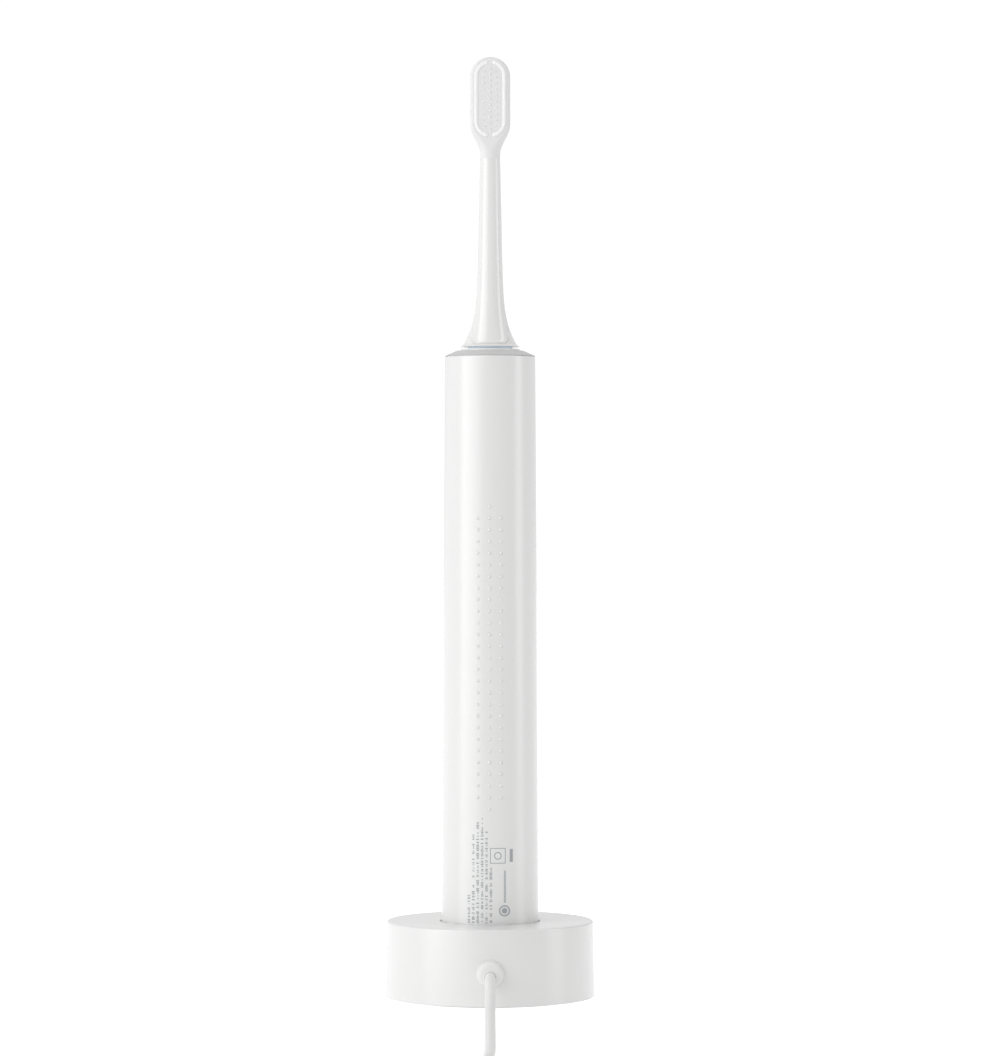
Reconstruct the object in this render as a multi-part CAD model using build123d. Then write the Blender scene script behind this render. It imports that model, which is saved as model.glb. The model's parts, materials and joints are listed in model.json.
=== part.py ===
from build123d import *
import math
import os

# Electric toothbrush standing in a round charger. Millimetres, +Z up.
# The origin is on the charger's axis, at the surface it stands on. The back of the brush,
# with the grip dots and the lead, faces -Y. The bristles and the power button face +Y.

# Charger
CHARGER_R_LOW = 30.0
CHARGER_R_TOP = 29.55
CHARGER_TOP_Z = 22.0
FOOT_GAP = 0.4
CHARGER_WALL = 2.2
WELL_R = 14.3
WELL_FLOOR_Z = 16.0
WELL_WALL = 1.9
POST_R = 4.0
POST_TOP_Z = 21.0
POST_WALL = 1.2
RIM_ROUND = 0.6
WELL_ROUND = 0.4
POST_ROUND = 0.8
PLATE_T = 1.8
BOSS_RING_R = 21.0
BOSS_R = 2.6
BOSS_ANGLES = (90, 210, 330)
SCREW_R = 1.1
SCREW_HEAD_R = 2.2
SCREW_HEAD_T = 0.9
SCREW_TOP_Z = 12.0
CROSS_HALF_L = 1.3
CROSS_HALF_W = 0.25
CROSS_DEPTH = 0.5
FOOT_R_IN = 24.0
FOOT_R_OUT = 27.2
FOOT_GROOVE = 0.6
BOARD_T = 1.2
CHARGER_BOARD_Z = 3.6
CHARGER_BOARD_R = 26.0
STANDOFF_RING_R = 14.0
STANDOFF_R = 1.5
PARTS_RING_R = 19.5
COIL_Z = 7.2
COIL_H = 5.9
COIL_R = 10.2
BOBBIN_R = 11.0
FERRITE_R = 2.5
FERRITE_FOOT_T = 1.2
FLANGE_T = 0.8

# Lead, its gland, coil and plug
CORD_D = 3.0
GLAND_Z = 9.7
GLAND_R = 3.8
GLAND_MOUTH_R = 2.2
GLAND_STEM_R = 2.5
SNAP_R = 3.3
SNAP_BACK = 25.6
SNAP_FRONT = 27.2
CORD_Z = 9.3
GLAND_BACK = 29.2
GLAND_FRONT = 32.0
CLAMP_HALF_W = 4.5
CLAMP_BACK = 20.4
CLAMP_FRONT = 24.2
INNER_LEAD_END = 19.5
LEAD_START = 30.0
COIL_RING_R = 18.0
STRAND_PITCH = 3.15
COIL_CENTRE = (16.3, -208.0)
COIL_TURNS = 7
BUNDLE_HALF_W = 1.5 * STRAND_PITCH + CORD_D / 2
BUNDLE_H = CORD_D + STRAND_PITCH * math.sin(math.radians(60))
TAIL_L = 18.0
TAIL_SHIFT = 0.4
TIE_W = 8.0
TIE_T = 0.8
PLUG_Z = 4.0
PLUG_W = 16.0
PLUG_H = 8.0
PLUG_L = 22.0
RELIEF_L = 10.0
RELIEF_R = 3.0
SHELL_W = 12.0
SHELL_H = 4.5
SHELL_L = 12.0
SHELL_T = 0.3
SHELL_SUNK = 4.0
LATCH_X = 2.8
LATCH_SIDE = 2.2
LATCH_BACK = 6.0
TONGUE_T = 1.9
CONTACT_XS = (-3.5, -1.0, 1.0, 3.5)
CONTACT_HALF_W = 0.6
CONTACT_T = 0.1

# Handle
HANDLE_LOW_Z = 16.2
HANDLE_TOP_Z = 183.6
HANDLE_R_LOW = 13.98
HANDLE_R_TOP = 12.95
HANDLE_WALL = 1.6
SHOULDER_TOP_Z = 185.2
SHOULDER_R_TOP = 9.6
SPIGOT_R = 11.2
SPIGOT_Z = 178.0
SPIGOT_R_IN = 6.0
COLLAR_SUNK = 1.2
SEAL_SEAT_Z = 181.5
COLLAR_R = 8.5
COLLAR_TOP_Z = 185.7
SEAL_R = 4.3
CAP_R = 12.2
RECESS_R = 4.6
RECESS_TOP_Z = 21.8
RECESS_WALL = 1.0
CAP_FLOOR = 1.8
CAP_WALL = 1.4
CAP_H = 8.0
CAP_EDGE = 0.6
GROOVE_LOW = 3.4
GROOVE_H = 1.4
GROOVE_DEPTH = 0.9
ORING_R = 0.5
DOT_R = 0.4
DOT_PITCH = 3.3
DOT_RISE = 0.25
DOT_LOW_Z = 54.75
DOT_COUNT = 27
PLATE_FERRITE_T = 1.3
CELL_R = 7.0
CELL_L = 50.0
CELL_Z = 46.5
CELL_Y = -2.5
CELL_CAP_R = 2.7
CELL_CAP_H = 0.8
CONTACT_STRIP_HALF_W = 2.5
CONTACT_STRIP_T = 0.3
CHASSIS_R = 11.0
CHASSIS_T = 1.2
CHASSIS_LOW_Z = 30.0
CHASSIS_TOP_Z = 147.0
CHASSIS_MID_Z = 120.0
BOARD_Y = 5.0
BOARD_HALF_W = 8.5
BOARD_LOW_Z = 34.0
BOARD_TOP_Z = 145.0
BUTTON_Z = 135.0
BUTTON_HALF_W = 4.6
BUTTON_H = 16.0
BUTTON_PROUD = 0.35
BUTTON_GAP = 0.2
BUTTON_TRAVEL = 0.5
LIGHT_Z = 104.0
LIGHT_R = 1.25
LED_T = 0.8
PIPE_FOOT_L = 2.5
SWITCH_HALF = 3.0
SWITCH_T = 1.4
SWITCH_DOME_R = 1.5
SWITCH_DOME_T = 0.5
BUTTON_FLANGE_Y = 9.2
BUTTON_FLANGE_T = 0.6
PLUNGER_R = 1.8
MOTOR_R = 9.25
MOTOR_WALL = 0.9
MOTOR_LOW_Z = 149.0
MOTOR_TOP_Z = 177.0
MOTOR_LID_T = 1.2
BEARING_R = 3.0
BEARING_L = 2.5
STATOR_R_IN = 5.2
DAMPER_R = 11.3
DAMPER_LOW_Z = 158.0
DAMPER_TOP_Z = 166.0

# Drive
SHAFT_R = 1.70
SHAFT_LOW_Z = 149.6
SHAFT_TOP_Z = 208.0
SHAFT_FLAT_Y = -1.25
SHAFT_FLAT_LOW_Z = 190.0
RUNNING_GAP = 0.05
MAGNET_LOW_Z = 155.0
MAGNET_TOP_Z = 170.0
CORE_R = 3.0
MAGNET_R = 4.5
MAGNET_GAP = 0.6

# Brush head
RING_LOW_Z = 185.85
RING_TOP_Z = 187.8
RING_R = 6.35
RING_R_IN = 5.2
SKIRT_LOW_Z = 186.25
SKIRT_R = 8.6
NECK_TOP_R = 2.87
WAIST_R = 7.0
WAIST_RISE = 1.9
NECK_BENDS = [(5.25, 192.5), (4.0, 199.4), (3.57, 208.0)]
COVER_LOW_Z = 240.25
HEAD_HALF_W = 5.75
HEAD_TOP_Z = 269.3
HEAD_STRAIGHT_LOW_Z = 249.6
HEAD_BLEND = (4.3, 245.8)
HEAD_BACK_ROUND = 1.2
HEAD_FRONT_ROUND = 0.5
HEAD_BACK_Y = -3.0
HEAD_FRONT_Y = 2.4
COVER_SPLIT_Y = -0.5
CAVITY_R = 3.6
INSERT_R = 2.85
INSERT_LOW_Z = 192.0
INSERT_TOP_Z = 209.6
PANEL_RISE = 0.25
PANEL_HALF_LOW = 5.5
PANEL_HALF_TOP = 2.9
PANEL_CORNER = 1.6
PANEL_LIFT = 0.75
PANEL_TOP_Z = 213.0
RIB_W = 9.0
RIB_H = 22.0
RIB_STROKE = 0.97
RIB_GAP = 1.3
RIB_CENTRE_Z = 257.25
RIB_RISE = 0.3
EMBED = 0.1
HEAD_DOT_R = 0.24
HEAD_DOT_RISE = 0.15
HEAD_DOT_PITCH = 1.75
HEAD_DOT_COLUMN_X = 1.88
HEAD_DOT_COUNT = 11
TUFT_R = 0.72
TUFT_BASE_T = 0.4
BED_HALF_W = 4.6
BED_INSET = 1.1
TUFT_MARGIN = 1.1
TUFT_LENGTH = 9.6
TUFT_WAVE = 0.5
TUFT_PITCH_X = 1.75
TUFT_PITCH_Z = 1.95


def disc(radius, low, high):
    """An upright cylinder on the main axis."""
    return Pos(0, 0, low) * extrude(Circle(radius), high - low)


def ring(inner, outer, low, high):
    """An upright tube on the main axis."""
    return disc(outer, low, high) - disc(inner, low - 1, high + 1)


def block(x, y, z):
    """A box between three pairs of limits."""
    size = (x[1] - x[0], y[1] - y[0], z[1] - z[0])
    return Pos((x[0] + x[1]) / 2, (y[0] + y[1]) / 2, (z[0] + z[1]) / 2) * Box(*size)


def turned(*points):
    """The solid that a closed outline of (radius, z) points makes round the main axis."""
    return revolve(Plane.XZ * make_face(Polyline(*points, close=True)), Axis.Z)


def along_y(sketch, low, high):
    """A sketch of (x, z) made into a prism between two y values."""
    plane = Plane(origin=(0, high, 0), x_dir=(1, 0, 0), z_dir=(0, -1, 0))
    return extrude(plane * sketch, high - low)


def rod_y(radius, low, high, x, z):
    """A cylinder that lies along Y."""
    return along_y(Pos(x, z) * Circle(radius), low, high)


def round_edges(solid, radius, edge_radius, z):
    """Fillet the round edges of one radius at one height."""
    chosen = [
        e
        for e in solid.edges().filter_by(GeomType.CIRCLE)
        if abs(e.radius - edge_radius) < 0.01 and abs(e.center().Z - z) < 0.01
    ]
    return fillet(chosen, radius)


def polar(radius, degrees):
    """X and Y of a point at an angle round the main axis."""
    turn = math.radians(degrees)
    return radius * math.cos(turn), radius * math.sin(turn)


def handle_radius(z):
    """Outer radius of the tapered handle at a height."""
    share = (z - HANDLE_LOW_Z) / (HANDLE_TOP_Z - HANDLE_LOW_Z)
    return HANDLE_R_LOW + share * (HANDLE_R_TOP - HANDLE_R_LOW)


def handle_cone(extra, low, high):
    """A solid cone that follows the handle's taper, larger by a constant."""
    r_low = handle_radius(low) + extra
    r_high = handle_radius(high) + extra
    return turned((0, low), (r_low, low), (r_high, high), (0, high))


# Charger -----------------------------------------------------------------------------


def charger_housing():
    """A cup turned upside down, with a well, a hollow post in it and three screw bosses."""
    roof = CHARGER_TOP_Z - CHARGER_WALL
    floor = WELL_FLOOR_Z - WELL_WALL
    bore = POST_R - POST_WALL
    body = turned(
        (CHARGER_R_LOW, FOOT_GAP),
        (CHARGER_R_TOP, CHARGER_TOP_Z),
        (WELL_R, CHARGER_TOP_Z),
        (WELL_R, WELL_FLOOR_Z),
        (POST_R, WELL_FLOOR_Z),
        (POST_R, POST_TOP_Z),
        (0, POST_TOP_Z),
        (0, POST_TOP_Z - POST_WALL),
        (bore, POST_TOP_Z - POST_WALL),
        (bore, floor),
        (WELL_R + WELL_WALL, floor),
        (WELL_R + WELL_WALL, roof),
        (CHARGER_R_TOP - CHARGER_WALL, roof),
        (CHARGER_R_LOW - CHARGER_WALL, FOOT_GAP),
    )
    body = round_edges(body, RIM_ROUND, CHARGER_R_TOP, CHARGER_TOP_Z)
    body = round_edges(body, WELL_ROUND, WELL_R, CHARGER_TOP_Z)
    body = round_edges(body, POST_ROUND, POST_R, POST_TOP_Z)
    for angle in BOSS_ANGLES:
        place = Pos(*polar(BOSS_RING_R, angle), 0)
        body += place * disc(BOSS_R, FOOT_GAP + PLATE_T, roof + 0.5)
        body -= place * disc(SCREW_R + RUNNING_GAP, 0, CHARGER_TOP_Z - 2 * CHARGER_WALL)
    body -= rod_y(GLAND_STEM_R + 0.1, -GLAND_FRONT, -CHARGER_R_TOP + 5, 0, GLAND_Z)
    body -= rod_y(GLAND_R + 0.1, -GLAND_FRONT, -GLAND_BACK, 0, GLAND_Z)
    return body


def charger_base_plate():
    """The disc that closes the housing, with a groove for the foot and sunk screw holes."""
    top = FOOT_GAP + PLATE_T
    plate = disc(CHARGER_R_LOW - CHARGER_WALL - 0.1, FOOT_GAP, top)
    plate -= ring(FOOT_R_IN, FOOT_R_OUT, FOOT_GAP, FOOT_GAP + FOOT_GROOVE)
    for angle in BOSS_ANGLES:
        place = Pos(*polar(BOSS_RING_R, angle), 0)
        plate -= place * disc(SCREW_R + 0.2, 0, top + 1)
        plate -= place * disc(SCREW_HEAD_R + 0.2, 0, FOOT_GAP + SCREW_HEAD_T)
    for angle in (0, 120, 240):
        plate += Pos(*polar(STANDOFF_RING_R, angle), 0) * disc(STANDOFF_R, top, CHARGER_BOARD_Z)
    return plate


def foot_ring():
    """The soft ring that the charger stands on."""
    return ring(FOOT_R_IN, FOOT_R_OUT, 0, FOOT_GAP + FOOT_GROOVE)


def base_screws():
    """Three screws with cross recesses, from below into the housing's bosses."""
    head_top = FOOT_GAP + SCREW_HEAD_T
    screws = []
    for angle in BOSS_ANGLES:
        screw = disc(SCREW_HEAD_R, FOOT_GAP + 0.1, head_top)
        screw += disc(SCREW_R, head_top, SCREW_TOP_Z)
        long, thin = (-CROSS_HALF_L, CROSS_HALF_L), (-CROSS_HALF_W, CROSS_HALF_W)
        screw -= block(long, thin, (0, FOOT_GAP + 0.1 + CROSS_DEPTH))
        screw -= block(thin, long, (0, FOOT_GAP + 0.1 + CROSS_DEPTH))
        screws.append(Pos(*polar(BOSS_RING_R, angle), 0) * screw)
    return Compound(children=screws)


def charger_board():
    """The round circuit board under the coil."""
    top = CHARGER_BOARD_Z + BOARD_T
    board = disc(CHARGER_BOARD_R, CHARGER_BOARD_Z, top)
    for angle in BOSS_ANGLES:
        x, y = polar(BOSS_RING_R, angle)
        board -= Pos(x, y, 0) * disc(BOSS_R + 0.5, 0, top + 1)
    return board


def charger_board_parts():
    """Two capacitors, a choke and two chips on the charger's board."""
    top = CHARGER_BOARD_Z + BOARD_T
    parts = [
        Pos(*polar(PARTS_RING_R, 20), 0) * disc(3.0, top, top + 8.0),
        Pos(*polar(PARTS_RING_R, 160), 0) * disc(3.0, top, top + 8.0),
        Pos(*polar(PARTS_RING_R, 120), 0) * disc(3.2, top, top + 5.0),
        Pos(*polar(PARTS_RING_R, 55), 0) * block((-2.5, 2.5), (-2.5, 2.5), (top, top + 1.4)),
        Pos(*polar(PARTS_RING_R, 185), 0) * block((-2.0, 2.0), (-2.5, 2.5), (top, top + 1.2)),
    ]
    return Compound(children=parts)


def charger_ferrite():
    """The core that carries the field up through the post."""
    foot_z = CHARGER_BOARD_Z + BOARD_T + 0.1
    core = disc(BOBBIN_R - 1, foot_z, foot_z + FERRITE_FOOT_T)
    return core + disc(FERRITE_R, foot_z, POST_TOP_Z - POST_WALL - 0.3)


def coil_bobbin():
    """The spool that the charger's coil is wound on."""
    low = COIL_Z - FLANGE_T - 0.1
    high = COIL_Z + COIL_H + FLANGE_T
    spool = ring(FERRITE_R + 0.2, FERRITE_R + 1.0, low, high)
    spool += ring(FERRITE_R + 0.2, BOBBIN_R, low, low + FLANGE_T)
    spool += ring(FERRITE_R + 0.2, BOBBIN_R, high - FLANGE_T + 0.1, high)
    return spool


def primary_coil():
    """The charger's winding, as one solid ring of wire."""
    return ring(FERRITE_R + 1.1, COIL_R, COIL_Z, COIL_Z + COIL_H)


def cord_gland():
    """A domed bush with a stem through the wall, a snap flange and a low, flared mouth."""
    rim = (GLAND_R, GLAND_BACK + 1.1)
    outline = Polyline(
        (0, GLAND_FRONT), (0, SNAP_BACK), (SNAP_R, SNAP_BACK), (SNAP_R, SNAP_FRONT),
        (GLAND_STEM_R, SNAP_FRONT), (GLAND_STEM_R, GLAND_BACK), (GLAND_R, GLAND_BACK), rim,
    )
    outline += ThreePointArc(rim, (3.35, GLAND_FRONT - 0.55), (GLAND_MOUTH_R, GLAND_FRONT))
    outline += Line((GLAND_MOUTH_R, GLAND_FRONT), (0, GLAND_FRONT))
    bush = Rot(90, 0, 0) * revolve(Plane.XZ * make_face(outline), Axis.Z)
    flare = turned(
        (0, SNAP_BACK - 1), (CORD_D / 2, SNAP_BACK - 1), (CORD_D / 2, GLAND_FRONT - 1.0),
        (GLAND_MOUTH_R, GLAND_FRONT), (GLAND_MOUTH_R, GLAND_FRONT + 1), (0, GLAND_FRONT + 1),
    )
    return Pos(0, 0, GLAND_Z) * bush - Pos(0, 0, CORD_Z) * Rot(90, 0, 0) * flare


def inner_lead():
    """The end of the lead inside the charger, from the clamp to the gland's mouth."""
    return rod_y(CORD_D / 2, -LEAD_START, -INNER_LEAD_END, 0, CORD_Z)


def cord_clamp():
    """The block that keeps a pull on the lead off the circuit board."""
    span = (CHARGER_BOARD_Z + BOARD_T, CORD_Z + CORD_D / 2 + 1.7)
    clamp = block((-CLAMP_HALF_W, CLAMP_HALF_W), (-CLAMP_FRONT, -CLAMP_BACK), span)
    return clamp - rod_y(CORD_D / 2, -CLAMP_FRONT - 1, -CLAMP_BACK + 1, 0, CORD_Z)


# Lead --------------------------------------------------------------------------------


def coil_entry():
    """Where the lead reaches the coil: on its left side, in the lowest layer."""
    x, y = COIL_CENTRE
    return x - COIL_RING_R - 1.5 * STRAND_PITCH, y, CORD_D / 2


def coil_exit():
    """Where the lead leaves the coil: on its left side, in the upper layer."""
    x, y = COIL_CENTRE
    z = CORD_D / 2 + STRAND_PITCH * math.sin(math.radians(60))
    return x - COIL_RING_R - 2 * STRAND_PITCH, y, z


def lead_route():
    """The lead's points from the gland's mouth to the coil."""
    low = CORD_D / 2
    return [
        (0.0, -LEAD_START, CORD_Z),
        (0.0, -38.0, 8.5),
        (0.0, -46.5, low),
        (0.12, -100.0, low),
        (0.0, -146.0, low),
        (-6.0, -190.0, low),
        coil_entry(),
    ]


def tail_route():
    """The lead's points from the coil to the plug's strain relief."""
    x, y, z = coil_exit()
    return [
        (x, y, z),
        (x - TAIL_SHIFT, y - TAIL_L / 2, PLUG_Z + 0.1),
        (x - TAIL_SHIFT, y - TAIL_L, PLUG_Z),
    ]


def cord_tube(points):
    """A round tube along straight runs that are joined by tangent arcs."""
    corners = []
    for before, here, after in zip(points, points[1:], points[2:]):
        first = Vector(*here) - Vector(*before)
        second = Vector(*after) - Vector(*here)
        turn = math.radians(first.get_angle(second))
        corners.append(0.45 * min(first.length, second.length) / math.tan(turn / 2))
    print("cord radii, mm:", [round(r, 1) for r in corners])
    path = FilletPolyline(*points, radius=corners)
    section = Plane(origin=path @ 0, z_dir=path % 0) * Circle(CORD_D / 2)
    tube = sweep(section, path=path)
    ideal = math.pi * CORD_D**2 / 4 * path.length
    print("cord length, mm:", round(path.length, 1), "volume over ideal:", round(tube.volume / ideal, 4))
    return tube


def charging_cord():
    """The lead from the gland, down to the surface and along it to the coil."""
    return cord_tube(lead_route())


def cord_tail():
    """The short stretch of lead between the coil and the plug."""
    return cord_tube(tail_route())


def cord_tie():
    """A strap round the coil's bundle of turns, opposite the place where the lead enters."""
    x, y = COIL_CENTRE
    tall = BUNDLE_H + TIE_T
    low, high = x + COIL_RING_R - BUNDLE_HALF_W - 0.1, x + COIL_RING_R + BUNDLE_HALF_W + 0.1
    span = (y - TIE_W / 2, y + TIE_W / 2)
    strap = block((low - TIE_T, high + TIE_T), span, (0, tall + TIE_T + 0.2))
    strap = fillet(strap.edges().filter_by(Axis.Y), 1.2)
    return strap - block((low, high), (span[0] - 1, span[1] + 1), (TIE_T, tall + 0.2))


def cord_coil():
    """The outer shape of the coiled lead: two layers of turns."""
    section = RectangleRounded(2 * BUNDLE_HALF_W, BUNDLE_H, 1.4)
    body = revolve(Plane.XZ * Pos(COIL_RING_R, BUNDLE_H / 2) * section, Axis.Z)
    print("coiled length, mm:", round(COIL_TURNS * math.tau * COIL_RING_R, 1))
    return Pos(*COIL_CENTRE, 0) * body - cord_tie()


def plug_origin():
    """The point where the lead enters the plug's strain relief."""
    return tail_route()[-1]


def usb_strain_relief():
    """A tapered, grooved sleeve where the lead meets the plug."""
    x, y, z = plug_origin()
    sleeve = Cone(RELIEF_R, CORD_D / 2 + 0.5, RELIEF_L, align=(Align.CENTER, Align.CENTER, Align.MIN))
    for step in range(3):
        low = 2.0 + 2.4 * step
        sleeve -= ring(CORD_D / 2 + 0.4, RELIEF_R + 1, low, low + 0.9)
    return Pos(x, y - RELIEF_L, z) * Rot(-90, 0, 0) * sleeve


def usb_plug_body():
    """The moulded grip of the plug, closed round the metal shell's root."""
    x, y, z = plug_origin()
    high = y - RELIEF_L
    grip = Pos(x, high - PLUG_L / 2, z) * Box(PLUG_W, PLUG_L, PLUG_H)
    grip = fillet(grip.edges().filter_by(Axis.Y), 2.0)
    grip = fillet(grip.faces().sort_by(Axis.Y)[-1].edges(), 1.0)
    root = (high - PLUG_L - 1, high - PLUG_L + SHELL_SUNK)
    return grip - block((x - SHELL_W / 2, x + SHELL_W / 2), root, (z - SHELL_H / 2, z + SHELL_H / 2))


def usb_plug_shell():
    """The open metal sleeve of the plug, with two square latch holes on each wide side."""
    x, y, z = plug_origin()
    high = y - RELIEF_L - PLUG_L + SHELL_SUNK
    low = y - RELIEF_L - PLUG_L - SHELL_L
    width, height = SHELL_W / 2, SHELL_H / 2
    shell = block((x - width, x + width), (low, high), (z - height, z + height))
    shell = fillet(shell.edges().filter_by(Axis.Y), 0.5)
    inner = width - SHELL_T, height - SHELL_T
    shell -= block((x - inner[0], x + inner[0]), (low - 1, high - 0.4), (z - inner[1], z + inner[1]))
    for side in (-LATCH_X, LATCH_X):
        shell -= Pos(x + side, low + LATCH_BACK, z) * Box(LATCH_SIDE, LATCH_SIDE, PLUG_H)
    return shell


def usb_plug_tongue():
    """The insulating tongue inside the sleeve, with its four contact strips."""
    x, y, z = plug_origin()
    high = y - RELIEF_L - PLUG_L + SHELL_SUNK - 0.5
    low = y - RELIEF_L - PLUG_L - SHELL_L + 0.4
    inner = SHELL_W / 2 - SHELL_T - 0.1
    base = z + SHELL_H / 2 - SHELL_T - 0.1
    face = base - TONGUE_T
    tongue = block((x - inner, x + inner), (low, high), (face, base))
    for strip in CONTACT_XS:
        width = (x + strip - CONTACT_HALF_W, x + strip + CONTACT_HALF_W)
        tongue += block(width, (low + 0.8, high - 4), (face - CONTACT_T, face))
    return tongue


# Handle ------------------------------------------------------------------------------


def button_outline(extra):
    """The power button's upright rounded outline, larger by a constant on each side."""
    height = BUTTON_H + 2 * extra
    width = 2 * (BUTTON_HALF_W + extra)
    return Pos(0, BUTTON_Z) * SlotOverall(height, width, rotation=90)


def handle_shell():
    """The tapered tube of the handle, with holes for the button and the light."""
    shell = handle_cone(0, HANDLE_LOW_Z, HANDLE_TOP_Z)
    shell = round_edges(shell, 1.0, HANDLE_R_LOW, HANDLE_LOW_Z)
    shell -= turned(
        (0, HANDLE_LOW_Z - 1),
        (HANDLE_R_LOW - HANDLE_WALL, HANDLE_LOW_Z - 1),
        (HANDLE_R_TOP - HANDLE_WALL, HANDLE_TOP_Z + 1),
        (0, HANDLE_TOP_Z + 1),
    )
    shell -= along_y(button_outline(BUTTON_GAP), 0, 20)
    shell -= rod_y(LIGHT_R, 0, 20, 0, LIGHT_Z)
    return shell


def grip_dots():
    """Three columns of small raised dots down the back of the handle."""
    dots = []
    for column in (-1, 0, 1):
        missing = 0 if column == 0 else 1
        for row in range(missing, DOT_COUNT - missing):
            z = DOT_LOW_Z + row * DOT_PITCH
            radius = handle_radius(z)
            turn = math.degrees(math.asin(column * DOT_PITCH / radius))
            pip = rod_y(DOT_R, -radius - DOT_RISE, -radius + 2 * EMBED, 0, z)
            dots.append(Rot(0, 0, turn) * pip)
    return Compound(children=dots)


def handle_shoulder():
    """The conical top of the handle, with a spigot inside the tube."""
    return turned(
        (SPIGOT_R_IN, SPIGOT_Z),
        (SPIGOT_R, SPIGOT_Z),
        (SPIGOT_R, HANDLE_TOP_Z),
        (HANDLE_R_TOP, HANDLE_TOP_Z),
        (SHOULDER_R_TOP, SHOULDER_TOP_Z),
        (COLLAR_R, SHOULDER_TOP_Z),
        (COLLAR_R, SHOULDER_TOP_Z - COLLAR_SUNK),
        (SEAL_R, SHOULDER_TOP_Z - COLLAR_SUNK),
        (SEAL_R, SEAL_SEAT_Z),
        (SPIGOT_R_IN, SEAL_SEAT_Z),
    )


def handle_collar():
    """The light ring on top of the shoulder, round the seal."""
    return ring(SEAL_R, COLLAR_R, SHOULDER_TOP_Z - COLLAR_SUNK, COLLAR_TOP_Z)


def shaft_seal():
    """The rubber boot that the shaft comes out of."""
    bore = SHAFT_R + RUNNING_GAP
    return turned(
        (bore, SEAL_SEAT_Z),
        (SEAL_R, SEAL_SEAT_Z),
        (SEAL_R, COLLAR_TOP_Z),
        (SEAL_R - 1.2, COLLAR_TOP_Z + 0.6),
        (SEAL_R - 1.7, COLLAR_TOP_Z + 1.8),
        (bore, COLLAR_TOP_Z + 1.8),
    )


def bottom_cap():
    """The plug that closes the handle, with a recess for the charger's post."""
    low = HANDLE_LOW_Z
    groove = (low + GROOVE_LOW, low + GROOVE_LOW + GROOVE_H)
    roof = RECESS_TOP_Z + RECESS_WALL
    return turned(
        (RECESS_R, low),
        (CAP_R - CAP_EDGE, low),
        (CAP_R, low + CAP_EDGE),
        (CAP_R, groove[0]),
        (CAP_R - GROOVE_DEPTH, groove[0]),
        (CAP_R - GROOVE_DEPTH, groove[1]),
        (CAP_R, groove[1]),
        (CAP_R, low + CAP_H),
        (CAP_R - CAP_WALL, low + CAP_H),
        (CAP_R - CAP_WALL, low + CAP_FLOOR),
        (RECESS_R + RECESS_WALL, low + CAP_FLOOR),
        (RECESS_R + RECESS_WALL, roof),
        (0, roof),
        (0, RECESS_TOP_Z),
        (RECESS_R, RECESS_TOP_Z),
    )


def cap_seal():
    """The O-ring in the bottom cap's groove."""
    z = HANDLE_LOW_Z + GROOVE_LOW + GROOVE_H / 2
    section = Plane.XZ * Pos(CAP_R - GROOVE_DEPTH + ORING_R + 0.05, z) * Circle(ORING_R)
    return revolve(section, Axis.Z)


def secondary_coil():
    """The handle's winding, round the recess in the bottom cap."""
    inner, outer = RECESS_R + RECESS_WALL + 0.2, CAP_R - CAP_WALL - 0.3
    return ring(inner, outer, HANDLE_LOW_Z + CAP_FLOOR + 0.2, RECESS_TOP_Z)


def secondary_ferrite():
    """The ferrite plate over the handle's winding."""
    low = RECESS_TOP_Z + RECESS_WALL + 0.2
    return disc(CAP_R - CAP_WALL - 0.4, low, low + PLATE_FERRITE_T)


def inner_chassis():
    """The tray that carries the cell and the main board, with cross walls."""
    tube = ring(CHASSIS_R - CHASSIS_T, CHASSIS_R, CHASSIS_LOW_Z, CHASSIS_TOP_Z)
    tray = tube & block((-20, 20), (-20, 0), (CHASSIS_LOW_Z, CHASSIS_TOP_Z))
    cell_top = CELL_Z + CELL_L
    for low in (CHASSIS_LOW_Z, CELL_Z - 2, cell_top + 0.8, CHASSIS_MID_Z, CHASSIS_TOP_Z - CHASSIS_T):
        wall = disc(CHASSIS_R - 0.1, low, low + CHASSIS_T)
        tray += wall & block((-20, 20), (-20, BOARD_Y - 0.2), (low, low + CHASSIS_T))
    return tray


def battery_cell():
    """The lithium cell: a can with a small raised cap."""
    top = CELL_Z + CELL_L
    can = disc(CELL_R, CELL_Z, top - CELL_CAP_H)
    can = fillet(can.edges().filter_by(GeomType.CIRCLE), 0.5)
    can += disc(CELL_CAP_R, top - CELL_CAP_H - 0.2, top)
    return Pos(0, CELL_Y, 0) * can


def battery_contacts():
    """Nickel strips on the two ends of the cell, bent up to the board."""
    width = (-CONTACT_STRIP_HALF_W, CONTACT_STRIP_HALF_W)
    depth = (CELL_Y, BOARD_Y - 0.2)
    high_z = CELL_Z + CELL_L
    low = block(width, depth, (CELL_Z - CONTACT_STRIP_T, CELL_Z))
    high = block(width, depth, (high_z, high_z + CONTACT_STRIP_T))
    return Compound(children=[low, high])


def main_board():
    """The long circuit board over the cell."""
    return block(
        (-BOARD_HALF_W, BOARD_HALF_W), (BOARD_Y, BOARD_Y + BOARD_T), (BOARD_LOW_Z, BOARD_TOP_Z)
    )


def board_parts():
    """The coil connector, chips, choke and indicator on the main board."""
    face = BOARD_Y + BOARD_T
    parts = [
        block((-3.5, 3.5), (face, face + 3.0), (36.0, 41.0)),
        block((-3.5, 3.5), (face, face + 1.2), (62.0, 69.0)),
        block((-2.0, 2.0), (face, face + 2.2), (78.0, 82.0)),
        block((-2.5, 2.5), (face, face + 1.0), (90.0, 93.5)),
        block((-1.0, 1.0), (face, face + LED_T), (LIGHT_Z - 1.0, LIGHT_Z + 1.0)),
    ]
    return Compound(children=parts)


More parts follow.
